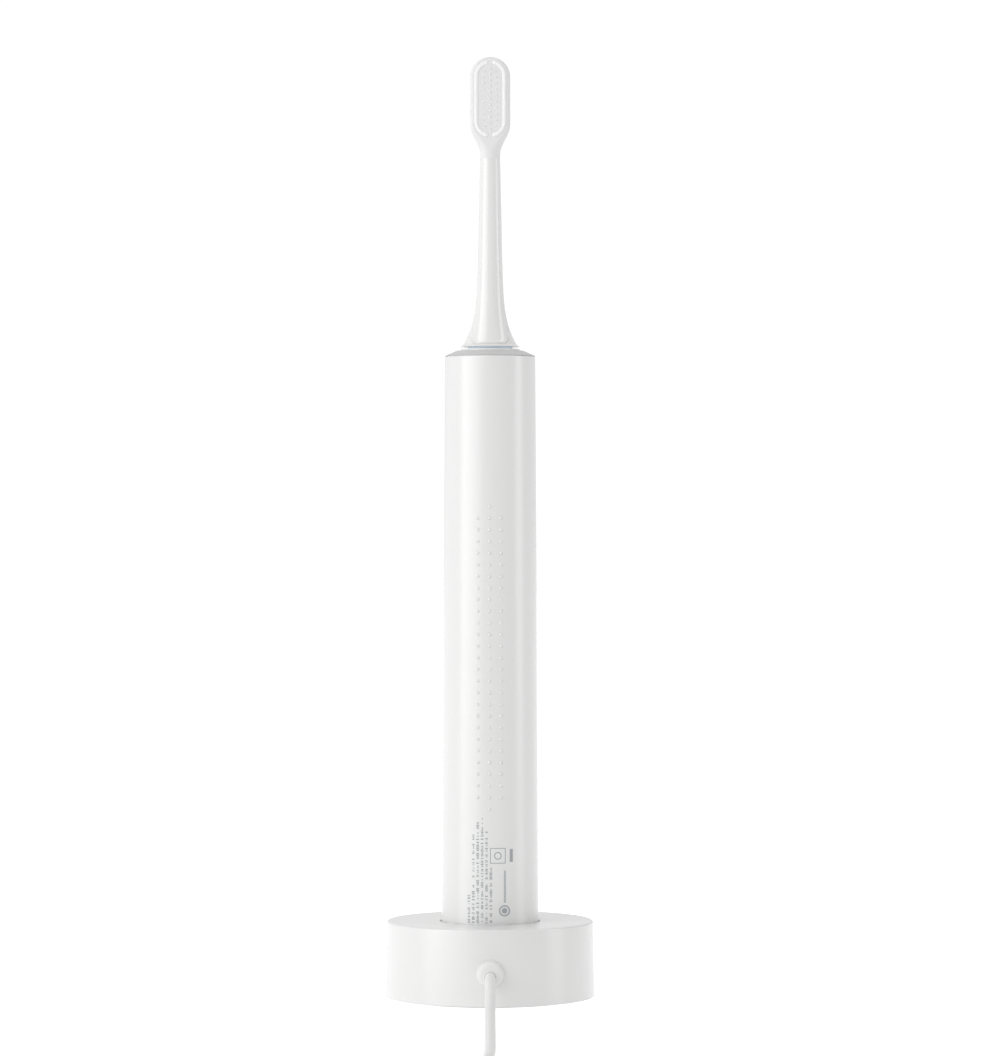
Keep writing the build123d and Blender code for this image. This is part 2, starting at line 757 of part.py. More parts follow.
def indicator_light():
    """The clear pipe that brings the indicator's light to the front of the handle."""
    back = BOARD_Y + BOARD_T + LED_T + 0.1
    neck = back + PIPE_FOOT_L
    pipe = rod_y(LIGHT_R - 0.05, neck, handle_radius(LIGHT_Z), 0, LIGHT_Z)
    return pipe + rod_y(LIGHT_R + 1.0, back, neck, 0, LIGHT_Z)


def power_switch():
    """The press switch on the main board, behind the button."""
    face = BOARD_Y + BOARD_T
    top = face + SWITCH_T
    span = (BUTTON_Z - SWITCH_HALF, BUTTON_Z + SWITCH_HALF)
    switch = block((-SWITCH_HALF, SWITCH_HALF), (face, top), span)
    return switch + rod_y(SWITCH_DOME_R, top, top + SWITCH_DOME_T, 0, BUTTON_Z)


def motor_can():
    """The steel can of the oscillating motor, open at both ends for the bearings."""
    inner = MOTOR_R - MOTOR_WALL
    can = ring(inner, MOTOR_R, MOTOR_LOW_Z, MOTOR_TOP_Z)
    can += ring(BEARING_R, MOTOR_R, MOTOR_LOW_Z, MOTOR_LOW_Z + MOTOR_LID_T)
    return can + ring(BEARING_R, MOTOR_R, MOTOR_TOP_Z - MOTOR_LID_T, MOTOR_TOP_Z)


def stator_coil():
    """The motor's fixed winding."""
    return ring(STATOR_R_IN, MOTOR_R - MOTOR_WALL, MAGNET_LOW_Z - 2, MAGNET_TOP_Z + 2)


def shaft_bearings():
    """The bushes at the two ends of the motor."""
    bore = SHAFT_R + RUNNING_GAP
    low = ring(bore, BEARING_R, MOTOR_LOW_Z, MOTOR_LOW_Z + BEARING_L)
    high = ring(bore, BEARING_R, MOTOR_TOP_Z - BEARING_L, MOTOR_TOP_Z)
    return Compound(children=[low, high])


def motor_damper():
    """The rubber ring that keeps the motor's shake off the handle."""
    return ring(MOTOR_R, DAMPER_R, DAMPER_LOW_Z, DAMPER_TOP_Z)


# Power button ------------------------------------------------------------------------


def button_cap():
    """The button's cap, a little proud of the handle, with a flange behind the wall."""
    low = BUTTON_Z - BUTTON_H
    high = BUTTON_Z + BUTTON_H
    back = BUTTON_FLANGE_Y
    cap = handle_cone(BUTTON_PROUD, low, high) & along_y(button_outline(0), back + 0.5, 20)
    return cap + along_y(button_outline(1.0), back, back + BUTTON_FLANGE_T)


def button_plunger():
    """The stem that reaches from the cap towards the switch."""
    switch_top = BOARD_Y + BOARD_T + SWITCH_T + SWITCH_DOME_T
    tip = switch_top + BUTTON_TRAVEL + 0.05
    return rod_y(PLUNGER_R, tip, BUTTON_FLANGE_Y, 0, BUTTON_Z)


# Drive -------------------------------------------------------------------------------


def drive_shaft():
    """The steel shaft, with a flat that keeps the head from turning on it."""
    shaft = disc(SHAFT_R, SHAFT_LOW_Z, SHAFT_TOP_Z)
    shaft = round_edges(shaft, 0.4, SHAFT_R, SHAFT_TOP_Z)
    flat = block((-3, 3), (-3, SHAFT_FLAT_Y), (SHAFT_FLAT_LOW_Z, SHAFT_TOP_Z + 1))
    return shaft - flat


def rotor_core():
    """The soft iron sleeve on the shaft."""
    return ring(SHAFT_R, CORE_R, MAGNET_LOW_Z, MAGNET_TOP_Z)


def rotor_magnets():
    """Four magnets round the sleeve."""
    sleeve = ring(CORE_R, MAGNET_R, MAGNET_LOW_Z, MAGNET_TOP_Z)
    half = MAGNET_GAP / 2
    long = (-MAGNET_R - 1, MAGNET_R + 1)
    height = (MAGNET_LOW_Z - 1, MAGNET_TOP_Z + 1)
    sleeve -= block(long, (-half, half), height)
    sleeve -= block((-half, half), long, height)
    return sleeve


# Brush head --------------------------------------------------------------------------


def neck_solid(extra):
    """The flared skirt and the long neck, larger by a constant."""
    foot = (SKIRT_R + extra, SKIRT_LOW_Z)
    waist = (WAIST_R + extra, SKIRT_LOW_Z + WAIST_RISE)
    bends = [(radius + extra, z) for radius, z in NECK_BENDS]
    end = (NECK_TOP_R + extra, 242.0)
    top = (0, 246.0)
    outline = Line((0, SKIRT_LOW_Z), foot) + Line(foot, waist)
    outline += Spline(waist, *bends, end)
    outline += Line(end, top) + Line(top, (0, SKIRT_LOW_Z))
    return revolve(Plane.XZ * make_face(outline), Axis.Z)


def neck_panel():
    """The raised panel on the back of the skirt, with round lower corners."""
    wide, thin, corner = PANEL_HALF_LOW, PANEL_HALF_TOP, PANEL_CORNER
    low, high = SKIRT_LOW_Z + PANEL_LIFT, PANEL_TOP_Z
    lower = Line((wide - corner, low), (corner - wide, low))
    left = Spline(
        (corner - wide, low), (0.3 - wide, low + 0.9), (-wide, low + 2.4),
        (1.2 - wide, low + 7), (-thin - 0.6, low + 13), (-thin, high),
    )
    top = Line((-thin, high), (thin, high))
    sketch = make_face(lower + left + top + mirror(left, Plane.YZ))
    return neck_solid(PANEL_RISE) & along_y(sketch, -12, -1)


def head_plate():
    """The oval head: straight sides, a round top and a waist that meets the neck."""
    centre_z = HEAD_TOP_Z - HEAD_HALF_W
    low_z = COVER_LOW_Z
    waist = (NECK_TOP_R, low_z + 1.2)
    side = (HEAD_HALF_W, HEAD_STRAIGHT_LOW_Z)
    blend = Spline(waist, HEAD_BLEND, side, tangents=[(0, 1), (0, 1)])
    half = Line((0, low_z), (NECK_TOP_R, low_z)) + Line((NECK_TOP_R, low_z), waist) + blend
    half += Line(side, (HEAD_HALF_W, centre_z))
    crown = ThreePointArc((HEAD_HALF_W, centre_z), (0, HEAD_TOP_Z), (-HEAD_HALF_W, centre_z))
    sketch = make_face(half + crown + mirror(half, Plane.YZ))
    plate = along_y(sketch, HEAD_BACK_Y, HEAD_FRONT_Y)
    plate = fillet(plate.faces().sort_by(Axis.Y)[0].edges(), HEAD_BACK_ROUND)
    return fillet(plate.faces().sort_by(Axis.Y)[-1].edges(), HEAD_FRONT_ROUND)


def whole_head():
    """Neck and head together, before they are split into two mouldings."""
    return neck_solid(0) + head_plate()


def cover_zone():
    """The space of the matte moulding, on the back of the head."""
    return block((-10, 10), (-10, COVER_SPLIT_Y), (COVER_LOW_Z, HEAD_TOP_Z + 5))


def tuft_bed(half_width, inset, low, high):
    """An upright rounded slab for the tufts, inside the head's outline."""
    top = HEAD_TOP_Z - inset
    bottom = HEAD_STRAIGHT_LOW_Z - 2.6
    sketch = Pos(0, (top + bottom) / 2) * SlotOverall(top - bottom, 2 * half_width, rotation=90)
    return along_y(sketch, low, high)


def head_core():
    """The hard moulding: skirt, neck, panel and the plate that holds the tufts."""
    core = whole_head() - cover_zone()
    core += neck_panel()
    core -= turned(
        (0, SKIRT_LOW_Z - 1),
        (RING_R, SKIRT_LOW_Z - 1),
        (RING_R, RING_TOP_Z),
        (RING_R_IN, RING_TOP_Z),
        (CAVITY_R, INSERT_LOW_Z),
        (INSERT_R, INSERT_LOW_Z),
        (INSERT_R, INSERT_TOP_Z),
        (0, INSERT_TOP_Z),
    )
    return core - tuft_bed(BED_HALF_W + 0.1, BED_INSET - 0.1, HEAD_FRONT_Y - TUFT_BASE_T, HEAD_FRONT_Y + 1)


def head_cover():
    """The soft matte moulding on the back of the head."""
    return whole_head() & cover_zone()


def stadium(height, width):
    """An upright rounded outline at the middle of the cover."""
    return Pos(0, RIB_CENTRE_Z) * SlotOverall(height, width, rotation=90)


def cover_ribs():
    """Two C-shaped ribs that face each other on the cover."""
    back = HEAD_BACK_Y - RIB_RISE
    outer = along_y(stadium(RIB_H, RIB_W), back, HEAD_BACK_Y + EMBED)
    inner = along_y(stadium(RIB_H - 2 * RIB_STROKE, RIB_W - 2 * RIB_STROKE), back - 1, 0)
    split = block((-RIB_GAP / 2, RIB_GAP / 2), (-10, 0), (COVER_LOW_Z, HEAD_TOP_Z))
    return outer - inner - split


def cover_dots():
    """Three columns of tiny dots between the ribs."""
    back = HEAD_BACK_Y - HEAD_DOT_RISE
    first = RIB_CENTRE_Z - HEAD_DOT_PITCH * (HEAD_DOT_COUNT - 1) / 2
    dots = []
    for column in (-1, 0, 1):
        shift = 0 if column == 0 else HEAD_DOT_PITCH / 2
        for row in range(HEAD_DOT_COUNT - abs(column)):
            z = first + shift + row * HEAD_DOT_PITCH
            x = column * HEAD_DOT_COLUMN_X
            dots.append(rod_y(HEAD_DOT_R, back, HEAD_BACK_Y + EMBED, x, z))
    return Compound(children=dots)


def head_ring():
    """The coloured ring in the skirt's mouth that tells one user's head from another's."""
    return ring(RING_R_IN, RING_R, RING_LOW_Z, RING_TOP_Z)


def shaft_socket():
    """The hard insert in the neck, with a bore that follows the shaft's flat."""
    insert = disc(INSERT_R, INSERT_LOW_Z, INSERT_TOP_Z)
    bore = disc(SHAFT_R + RUNNING_GAP, INSERT_LOW_Z - 1, SHAFT_TOP_Z + 0.6)
    bore -= block((-3, 3), (-3, SHAFT_FLAT_Y - RUNNING_GAP), (INSERT_LOW_Z - 2, SHAFT_TOP_Z + 2))
    return insert - bore


def bristle_tufts():
    """The field of tufts, standing on a thin bed in the head's front."""
    field = tuft_bed(BED_HALF_W, BED_INSET, HEAD_FRONT_Y - TUFT_BASE_T, HEAD_FRONT_Y)
    low = HEAD_STRAIGHT_LOW_Z - 1.4
    rows = int((HEAD_TOP_Z - 2.1 - low) / TUFT_PITCH_Z) + 1
    centre = HEAD_TOP_Z - HEAD_HALF_W
    for row in range(rows):
        z = low + row * TUFT_PITCH_Z
        count = 5 if row % 2 == 0 else 4
        for column in range(count):
            x = (column - (count - 1) / 2) * TUFT_PITCH_X
            edge = TUFT_MARGIN + TUFT_R
            high_room = math.hypot(x, max(0.0, z - centre)) <= HEAD_HALF_W - edge
            low_room = math.hypot(x, max(0.0, HEAD_STRAIGHT_LOW_Z + 2.0 - z)) <= HEAD_HALF_W - edge
            if high_room and low_room:
                tip = HEAD_FRONT_Y + TUFT_LENGTH + TUFT_WAVE * math.cos(row * math.pi / 2)
                field += rod_y(TUFT_R, HEAD_FRONT_Y - TUFT_BASE_T / 2, tip, x, z)
    return field


PIECES = [
    charger_housing,
    charger_base_plate,
    foot_ring,
    base_screws,
    charger_board,
    charger_board_parts,
    charger_ferrite,
    coil_bobbin,
    primary_coil,
    cord_gland,
    inner_lead,
    cord_clamp,
    charging_cord,
    cord_coil,
    cord_tie,
    cord_tail,
    usb_strain_relief,
    usb_plug_body,
    usb_plug_shell,
    usb_plug_tongue,
    handle_shell,
    grip_dots,
    handle_shoulder,
    handle_collar,
    shaft_seal,
    bottom_cap,
    cap_seal,
    secondary_coil,
    secondary_ferrite,
    inner_chassis,
    battery_cell,
    battery_contacts,
    main_board,
    board_parts,
    indicator_light,
    power_switch,
    motor_can,
    stator_coil,
    shaft_bearings,
    motor_damper,
    button_cap,
    button_plunger,
    drive_shaft,
    rotor_core,
    rotor_magnets,
    head_core,
    head_cover,
    cover_ribs,
    cover_dots,
    head_ring,
    shaft_socket,
    bristle_tufts,
]

os.makedirs("parts", exist_ok=True)
for piece in PIECES:
    export_step(piece(), f"parts/{piece.__name__}.step")
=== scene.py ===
import json
import math
import random

import bmesh
import bpy
from mathutils import Euler, Matrix, Vector


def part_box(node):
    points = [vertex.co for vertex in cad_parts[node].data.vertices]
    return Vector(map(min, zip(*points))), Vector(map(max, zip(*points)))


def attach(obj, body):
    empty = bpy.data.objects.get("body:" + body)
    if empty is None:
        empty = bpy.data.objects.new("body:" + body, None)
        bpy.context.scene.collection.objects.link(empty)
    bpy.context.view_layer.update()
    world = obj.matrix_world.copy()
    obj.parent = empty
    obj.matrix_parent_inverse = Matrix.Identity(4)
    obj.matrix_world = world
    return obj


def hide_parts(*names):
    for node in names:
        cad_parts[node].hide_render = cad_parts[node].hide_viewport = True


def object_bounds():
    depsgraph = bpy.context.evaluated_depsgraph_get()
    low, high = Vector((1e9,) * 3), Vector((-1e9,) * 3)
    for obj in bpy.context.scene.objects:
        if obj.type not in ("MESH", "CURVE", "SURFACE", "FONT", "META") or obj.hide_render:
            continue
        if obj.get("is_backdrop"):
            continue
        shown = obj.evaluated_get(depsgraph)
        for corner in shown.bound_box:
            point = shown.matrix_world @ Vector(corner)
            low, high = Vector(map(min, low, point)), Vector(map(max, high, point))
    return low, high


# Electric toothbrush in a round charger. Sizes and places are in millimetres unless a comment
# says otherwise, in the frame of the CAD part, and MM turns them into Blender's metres. The grip
# dots and the lead face -Y.

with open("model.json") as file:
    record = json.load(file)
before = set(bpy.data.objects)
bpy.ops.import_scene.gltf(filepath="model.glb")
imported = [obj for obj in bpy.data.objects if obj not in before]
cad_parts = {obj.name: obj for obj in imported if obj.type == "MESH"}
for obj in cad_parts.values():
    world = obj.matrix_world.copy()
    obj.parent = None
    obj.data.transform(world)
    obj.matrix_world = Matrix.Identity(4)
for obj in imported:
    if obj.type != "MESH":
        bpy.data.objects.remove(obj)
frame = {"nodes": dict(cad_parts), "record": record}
cad_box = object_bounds()

MM = 0.001
SEED = 7
MERGE = 1e-5
SHARP = 35

# Studio. The camera and the soft boxes are placed in metres, the azimuths are in degrees round
# the brush from the camera's side, and a level is a radiance.
LENS = 143.97
LENS_SHIFT = (0.00936, -0.01515)
CAMERA_PLACE = (0, -1.211, 0.139)
CLIP_END = 50
BACKDROP_LEVEL = 1.05
WORLD_LEVEL = 0.65
WORLD_LEAN = (-0.08, 0.18, 0.0)
FLOOR_SIDE = 6.0
FLOOR_Z = -0.0002
FLOOR_GREY = 0.35
FLOOR_ROUGH = 0.25
FLOOR_GLOSS = 0.5
FLOOR_LEVEL = 0.61
BOX_DISTANCE = 1.1
BOX_LOW = -0.1
BOX_HIGH = 2.2
KEY_COUNT = 4
KEY_FIRST = -69
KEY_STEP = 13
KEY_LEVEL = 1.9
KEY_FALL = 0.33
KEY_WIDTH = 0.26
FILL_AZIMUTH = 77
FILL_LEVEL = 1.45
FILL_WIDTH = 0.38

# Finish of a moulded surface. Waves are per metre.
COLOUR_WAVES = 60
GLOSS_WAVES = 140
GLOSS_SPREAD = 0.03
BUMP_STRENGTH = 0.5
COAT_ROUGH = 0.25
WEAVE_WAVES = 500
WEAVE_DEPTH = 0.12

# Handle
HANDLE_LOW_Z = 16.2
HANDLE_TOP_Z = 183.6
HANDLE_R_LOW = 13.98
HANDLE_R_TOP = 12.95
HANDLE_WALL = 1.6
HANDLE_LOW_EDGE = 1.0
HANDLE_TOP_EDGE = 0.4
HANDLE_ENDS = 1.25
SHOULDER_TOP_Z = 185.2
SHOULDER_R_TOP = 9.6
SHOULDER_SKIRT = 1.6
SHOULDER_SEAT = 1.2
COLLAR_R = 8.5
COLLAR_TOP_Z = 185.7
COLLAR_EDGE = 0.15
COLLAR_GAP = 0.05
SEAL_R = 4.3
DOT_PITCH = 3.3
DOT_LOW_Z = 54.75
DOT_COUNT = 27
DOT_R = 0.42
DOT_RISE = 0.34
DOT_ROOT = 0.15
DOT_SHIFT_X = -0.22
MARK_LEFT_X = -6.03
MARK_PITCH = 1.25
MARK_COLUMN_TOPS = (30.3, 47.5, 51.0, 52.5, 48.4, 38.5)
MARK_HALF_W = 0.4
MARK_SHARE = 0.84
MARK_FRAME = (0.0, 4.4, 39.3, 43.7)
MARK_STROKE = 0.22
MARK_EYE = (1.1, 0.8)
MARK_BAR = ((5.55, 6.45), (39.7, 43.4))
MARK_WORD_X = (3.9, 4.5)
MARK_WORD_Z = (28.2, 37.3)
MARK_WORD_GAP = 0.15
MARK_RING = (4.1, 25.9)
MARK_RING_R = ((1.6, 1.2), (0.8, 0.0))
PRINT_RISE = 0.012
PRINT_SUNK = 0.03
BUTTON_Z = 135.0
BUTTON_HALF_W = 4.8
BUTTON_HALF_H = 8.2
LIGHT_Z = 104.0
LIGHT_R = 1.25
CUT_FROM_Y = 2
CUT_TO_Y = 20

# Charger
CHARGER_R_LOW = 30.0
CHARGER_R_TOP = 29.55
CHARGER_TOP_Z = 22.0
FOOT_GAP = 0.4
CHARGER_WALL = 2.2
FOOT_EDGE = 0.25
RIM_EDGE = 0.6
WELL_R = 14.3
WELL_EDGE = 0.4
WELL_FILLET = 0.5
WELL_FLOOR_Z = 16.0
WELL_WALL = 1.9
POST_R = 4.0
POST_TOP_Z = 21.0
POST_EDGE = 0.8
POST_FILLET = 0.4
POST_WALL = 1.2

# Lead
CORD_D = 3.0
GLAND_Z = 9.7
CORD_Z = 9.3
CORD_CLEAR = 0.02
GLAND_R = 3.8
GLAND_BACK = 29.2
GLAND_RIM = 0.9
GLAND_FRONT = 32.0
GLAND_HOLD = 25.6
GLAND_HOLD_T = 1.6
GLAND_HOLD_R = 3.3
GLAND_STEM_R = 2.5
GLAND_NOSE_R = 2.35
GLAND_FIXED_R = 2.2
LEAD_SLOPE = 0.1
LEAD_BEND = 0.011
COIL_RING_R = 18.0
COIL_CENTRE = (16.3, -208.0)
COIL_TURNS = 7
COIL_STEPS = 24
STRAND_PITCH = 3.15
LIFT_START = 1.5
LIFT_FALL = 1.6
LOW_TURNS = 4
NEST_ANGLE = math.radians(60)
TIE_T = 0.7
TIE_GAP = 0.03
TIE_LAP = 0.4
TIE_LAP_FROM = math.radians(60)
TIE_LAP_TO = math.radians(200)
TIE_HALF_W = 4.0
RELIEF_R = 3.0
RELIEF_TAPER = 1.0
RELIEF_GROOVE = 0.42
RELIEF_GROOVES = 4
RELIEF_GROOVED = (0.08, 0.95)
PLUG_HALF_W = 8.0
PLUG_HALF_H = 4.0
PLUG_CORNER = 1.9
PLUG_EDGE = 1.0
PLUG_TAPER = 1.6
PLUG_TAPER_FROM = 0.62
PLUG_RIBS = (7.0, 15.0)
PLUG_RIB_DEPTH = 0.22
SLOT_HALF_W = 5.95
SLOT_HALF_H = 2.2
SLOT_CORNER = 0.5
SLOT_DEPTH = 4.0

# Brush head
SKIRT_LOW_Z = 186.25
SKIRT_R = 8.6
SKIRT_LIP = 0.12
SKIRT_MOUTH_R = 6.35
RING_LOW_Z = 185.85
RING_TOP_Z = 187.8
RING_BORE = 5.2
NECK_PROFILE = (
    (186.25, 8.6), (186.4, 8.5), (186.95, 7.77), (187.6, 7.35), (188.2, 6.98), (190.2, 6.1),
    (192.5, 5.27), (194.8, 4.71), (197.1, 4.30), (199.4, 4.03), (202.0, 3.83), (208.0, 3.59),
    (216.5, 3.41), (229.0, 3.15), (241.6, 2.87),
)
NECK_TOP_Z = 241.6
NECK_STEPS = ((198, 0.1), (216, 0.3))
NECK_LAST_STEP = 0.8
PANEL_UP = 0.85
PANEL_LOW_Z = 188.0
PANEL_HALF_W = 5.25
PANEL_NARROWING = 0.06
PANEL_OF_NECK = 0.91
PANEL_CORNER = 1.6
PANEL_RISE = 0.16
PANEL_GROOVE = 0.3
PANEL_GROOVE_W = 0.17
PANEL_FADE_Z = 206.0
PANEL_FADE = 9.0
COVER_LOW_Z = 240.25
HEAD_FULL_Z = 249.8
HEAD_HALF_W = 5.75
HEAD_TOP_Z = 269.3
HEAD_CENTRE_Z = HEAD_TOP_Z - HEAD_HALF_W
HEAD_BACK = 3.0
HEAD_FRONT = 2.4
HEAD_TOP_EDGE = 1.2
HEAD_TOP_FRONT = 0.5
HEAD_SOFT_R = 1.25
HEAD_CRISP_R = 0.6
COVER_T = 0.5
COVER_PROUD = 0.03
COVER_OVERLAP = 0.12
COVER_SPLIT = 0.5
RIB_CENTRE_Z = 257.25
RIB_W = 9.0
RIB_H = 22.0
RIB_STROKE = 0.97
RIB_GAP = 1.3
RIB_RISE = 0.3
RIB_ROOT = 0.15
RIB_FULLNESS = 0.55
PIP_PITCH = 1.75
PIP_COLUMN_X = 1.88
PIP_COUNT = 11
PIP_END_INSET = 0.37
PIP_R = 0.34
PIP_SIDE_R = 0.25
PIP_ROOT = 0.12
TUFT_LOW_Z = 248.2
TUFT_TOP_GAP = 2.1
TUFT_PITCH = (1.75, 1.95)
TUFT_ROW = 5
TUFT_EDGE = 1.82
TUFT_BEND_Z = 251.6
TUFT_R = 0.60
TUFT_LENGTH = 9.6
TUFT_WAVE = 0.5
TUFT_ROOT = 0.3
HAIR_R = 0.085
HAIR_COUNT = 34
GOLDEN_ANGLE = 2.39996


# Materials ---------------------------------------------------------------------------


def mix_colour(tree, factor, first, second):
    """A node that mixes two colours by a factor socket."""
    node = tree.nodes.new("ShaderNodeMix")
    node.data_type = "RGBA"
    tree.links.new(factor, node.inputs["Factor"])
    node.inputs["A"].default_value = (*first, 1)
    node.inputs["B"].default_value = (*second, 1)
    return node.outputs["Result"]


def noise(tree, scale, detail=3.0, stretch=(1, 1, 1)):
    """A noise in object space. The scale is in waves per metre."""
    place = tree.nodes.new("ShaderNodeTexCoord")
    mapping = tree.nodes.new("ShaderNodeMapping")
    mapping.inputs["Scale"].default_value = stretch
    tree.links.new(place.outputs["Object"], mapping.inputs["Vector"])
    node = tree.nodes.new("ShaderNodeTexNoise")
    node.inputs["Scale"].default_value = scale
    node.inputs["Detail"].default_value = detail
    tree.links.new(mapping.outputs["Vector"], node.inputs["Vector"])
    return node.outputs["Fac"]


def to_range(tree, value, low, high):
    """A node that maps a noise's middle range to a range of values."""
    node = tree.nodes.new("ShaderNodeMapRange")
    node.inputs["From Min"].default_value = 0.3
    node.inputs["From Max"].default_value = 0.7
    node.inputs["To Min"].default_value = low
    node.inputs["To Max"].default_value = high
    tree.links.new(value, node.inputs["Value"])
    return node.outputs["Result"]


def material(name, colour, rough, grain=900, relief=0.02, shade=0.985, metal=0.0,
             coat=0.0, stretch=(1, 1, 1), sheen=0.0, clear=0.0, ior=1.46, painted_glow=0.0):
    """A moulded or metal surface: uneven colour and gloss, and a relief in mm by waves per metre."""
    made = bpy.data.materials.new(name)
    made.use_nodes = True
    tree = made.node_tree
    shader = tree.nodes["Principled BSDF"]
    dark = tuple(c * shade for c in colour)
    uneven = mix_colour(tree, noise(tree, COLOUR_WAVES), colour, dark)
    tree.links.new(uneven, shader.inputs["Base Color"])
    spread = rough * GLOSS_SPREAD
    gloss = to_range(tree, noise(tree, GLOSS_WAVES), rough - spread, rough + spread)
    tree.links.new(gloss, shader.inputs["Roughness"])
    bump = tree.nodes.new("ShaderNodeBump")
    bump.inputs["Strength"].default_value = BUMP_STRENGTH
    bump.inputs["Distance"].default_value = relief * MM
    tree.links.new(noise(tree, grain, 4.0, stretch), bump.inputs["Height"])
    tree.links.new(bump.outputs["Normal"], shader.inputs["Normal"])
    shader.inputs["Metallic"].default_value = metal
    shader.inputs["Coat Weight"].default_value = coat
    shader.inputs["Coat Roughness"].default_value = COAT_ROUGH
    shader.inputs["Sheen Weight"].default_value = sheen
    shader.inputs["Transmission Weight"].default_value = clear
    shader.inputs["IOR"].default_value = ior
    # Emission in the surface's own colour, at strength painted_glow: a painted glow, none by default.
    shader.inputs["Emission Color"].default_value = (*colour, 1)
    shader.inputs["Emission Strength"].default_value = painted_glow
    return made


def make_materials():
    """Every material, by the name of the record's slot that it serves."""
    white = (0.80, 0.80, 0.795)
    fine = {"grain": 5200, "relief": 0.0015}
    steel = {"metal": 1.0, "grain": 900, "relief": 0.01}
    return {
        "white_shell": material("satin_white", white, 0.3, shade=0.992, ior=1.6, coat=1.0, **fine),
        "base_plate": material("matt_white", (0.78, 0.78, 0.775), 0.55, **fine),
        # The shoulder is the handle's white plastic; its grey is painted shade for a face that turns
        # upwards.
        "shoulder_grey": material("shoulder_grey", (0.60, 0.605, 0.605), 0.42, **fine),
        "collar_white": material("polished_white", (0.87, 0.87, 0.865), 0.22, coat=0.3),
        "foot_rubber": material(
            "foot_rubber", (0.42, 0.43, 0.44), 0.75, grain=3000, relief=0.04, shade=0.9
        ),
        "seal_rubber": material(
            "seal_rubber", (0.55, 0.56, 0.57), 0.7, grain=3000, relief=0.03, shade=0.92
        ),
        "cord_jacket": material("cord_jacket", (0.82, 0.82, 0.815), 0.42, grain=2600, relief=0.004),
        "tie_strap": weave("tie_strap", (0.80, 0.80, 0.79)),
        "plug_steel": material(
            "plug_steel", (0.76, 0.75, 0.74), 0.26, shade=0.9, stretch=(14, 1, 14), **steel
        ),
        "plug_tongue": material("plug_tongue", (0.88, 0.88, 0.86), 0.45, **fine),
        "screw_steel": material(
            "screw_steel", (0.62, 0.62, 0.63), 0.3, grain=2500, shade=0.85, metal=1.0, stretch=(1, 9, 1)
        ),
        "board_green": material("board_green", (0.03, 0.17, 0.07), 0.32, grain=700, shade=0.7, coat=0.5),
        "components": material("components", (0.03, 0.03, 0.033), 0.5, grain=5000, shade=0.8),
        "ferrite": material("ferrite", (0.05, 0.05, 0.053), 0.6, grain=4000, relief=0.03, shade=0.7),
        "winding": material(
            "winding", (0.62, 0.27, 0.10), 0.3, relief=0.12, shade=0.75, metal=1.0, stretch=(1, 1, 8)
        ),
        "inner_plastic": material("inner_plastic", (0.58, 0.58, 0.55), 0.5, **fine),
        "cell_wrap": material("cell_wrap", (0.05, 0.21, 0.36), 0.25, grain=800, shade=0.85, coat=0.4),
        "nickel": material(
            "nickel", (0.72, 0.70, 0.66), 0.22, grain=2000, relief=0.01, shade=0.9, metal=1.0
        ),
        "light_pipe": material("light_pipe", (0.80, 0.83, 0.85), 0.15, clear=0.2, ior=1.49),
        "motor_steel": material(
            "motor_steel", (0.60, 0.60, 0.61), 0.28, shade=0.88, stretch=(1, 1, 12), **steel
        ),
        "bearing_bronze": material(
            "bearing_bronze", (0.60, 0.38, 0.17), 0.4, grain=5000, shade=0.8, metal=1.0
        ),
        "neck_gloss": material(
            "neck_gloss", (0.81, 0.81, 0.805), 0.13, grain=1400, relief=0.0015, shade=0.992,
            ior=1.6, coat=1.0
        ),
        "head_matte": material("head_matte", (0.79, 0.795, 0.79), 0.6, grain=6000, relief=0.01),
        "rib_white": material("rib_white", (0.93, 0.93, 0.93), 0.28, **fine),
        # The ring's pale colour and its glow are painted light, which lift it out of the shade in the
        # narrow gap under the skirt.
        "ring_blue": material("ring_blue", (0.70, 0.82, 0.90), 0.4, painted_glow=0.25, **fine),
        "bristles": material(
            "bristles", (0.97, 0.98, 0.99), 0.4, grain=3000, relief=0.002, shade=0.99
        ),
    }


def weave(name, colour):
    """A plain woven strap: two crossed waves for the threads."""
    made = material(name, colour, 0.8, sheen=0.3)
    tree = made.node_tree
    place = tree.nodes.new("ShaderNodeTexCoord")
    heights = []
    for direction in ("X", "Y"):
        wave = tree.nodes.new("ShaderNodeTexWave")
        wave.bands_direction = direction
        wave.inputs["Scale"].default_value = WEAVE_WAVES
        tree.links.new(place.outputs["Object"], wave.inputs["Vector"])
        heights.append(wave.outputs["Fac"])
    both = tree.nodes.new("ShaderNodeMath")
    both.operation = "MULTIPLY"
    tree.links.new(heights[0], both.inputs[0])
    tree.links.new(heights[1], both.inputs[1])
    bump = next(n for n in tree.nodes if n.type == "BUMP")
    bump.inputs["Distance"].default_value = WEAVE_DEPTH * MM
    tree.links.new(both.outputs["Value"], bump.inputs["Height"])
    return made


# Mesh helpers ------------------------------------------------------------------------


def piece(name, mesh, body, slot, *nodes, sharp=SHARP):
    """An object from a bmesh in mm, riding on a body and standing for some CAD nodes."""
    bmesh.ops.remove_doubles(mesh, verts=mesh.verts, dist=MERGE)
    bmesh.ops.recalc_face_normals(mesh, faces=mesh.faces)
    bmesh.ops.scale(mesh, vec=(MM, MM, MM), verts=mesh.verts)
    data = bpy.data.meshes.new(name)
    mesh.to_mesh(data)
    mesh.free()
    data.shade_smooth()
    data.set_sharp_from_angle(angle=math.radians(sharp))
    made = bpy.data.objects.new(name, data)
    bpy.context.collection.objects.link(made)
    data.materials.append(MATERIALS[slot])
    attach(made, body)
    if nodes:
        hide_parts(*nodes)
    return made


def grid_faces(mesh, rows, cap=False):
    """Faces between closed rows of equal length, and over the first and last row if cap is set."""
    made = [[mesh.verts.new(p) for p in row] for row in rows]
    count = len(rows[0])
    for low, high in zip(made, made[1:]):
        for i in range(count):
            j = (i + 1) % count
            mesh.faces.new((low[i], low[j], high[j], high[i]))
    if cap:
        mesh.faces.new(made[0])
        mesh.faces.new(made[-1])
    return made


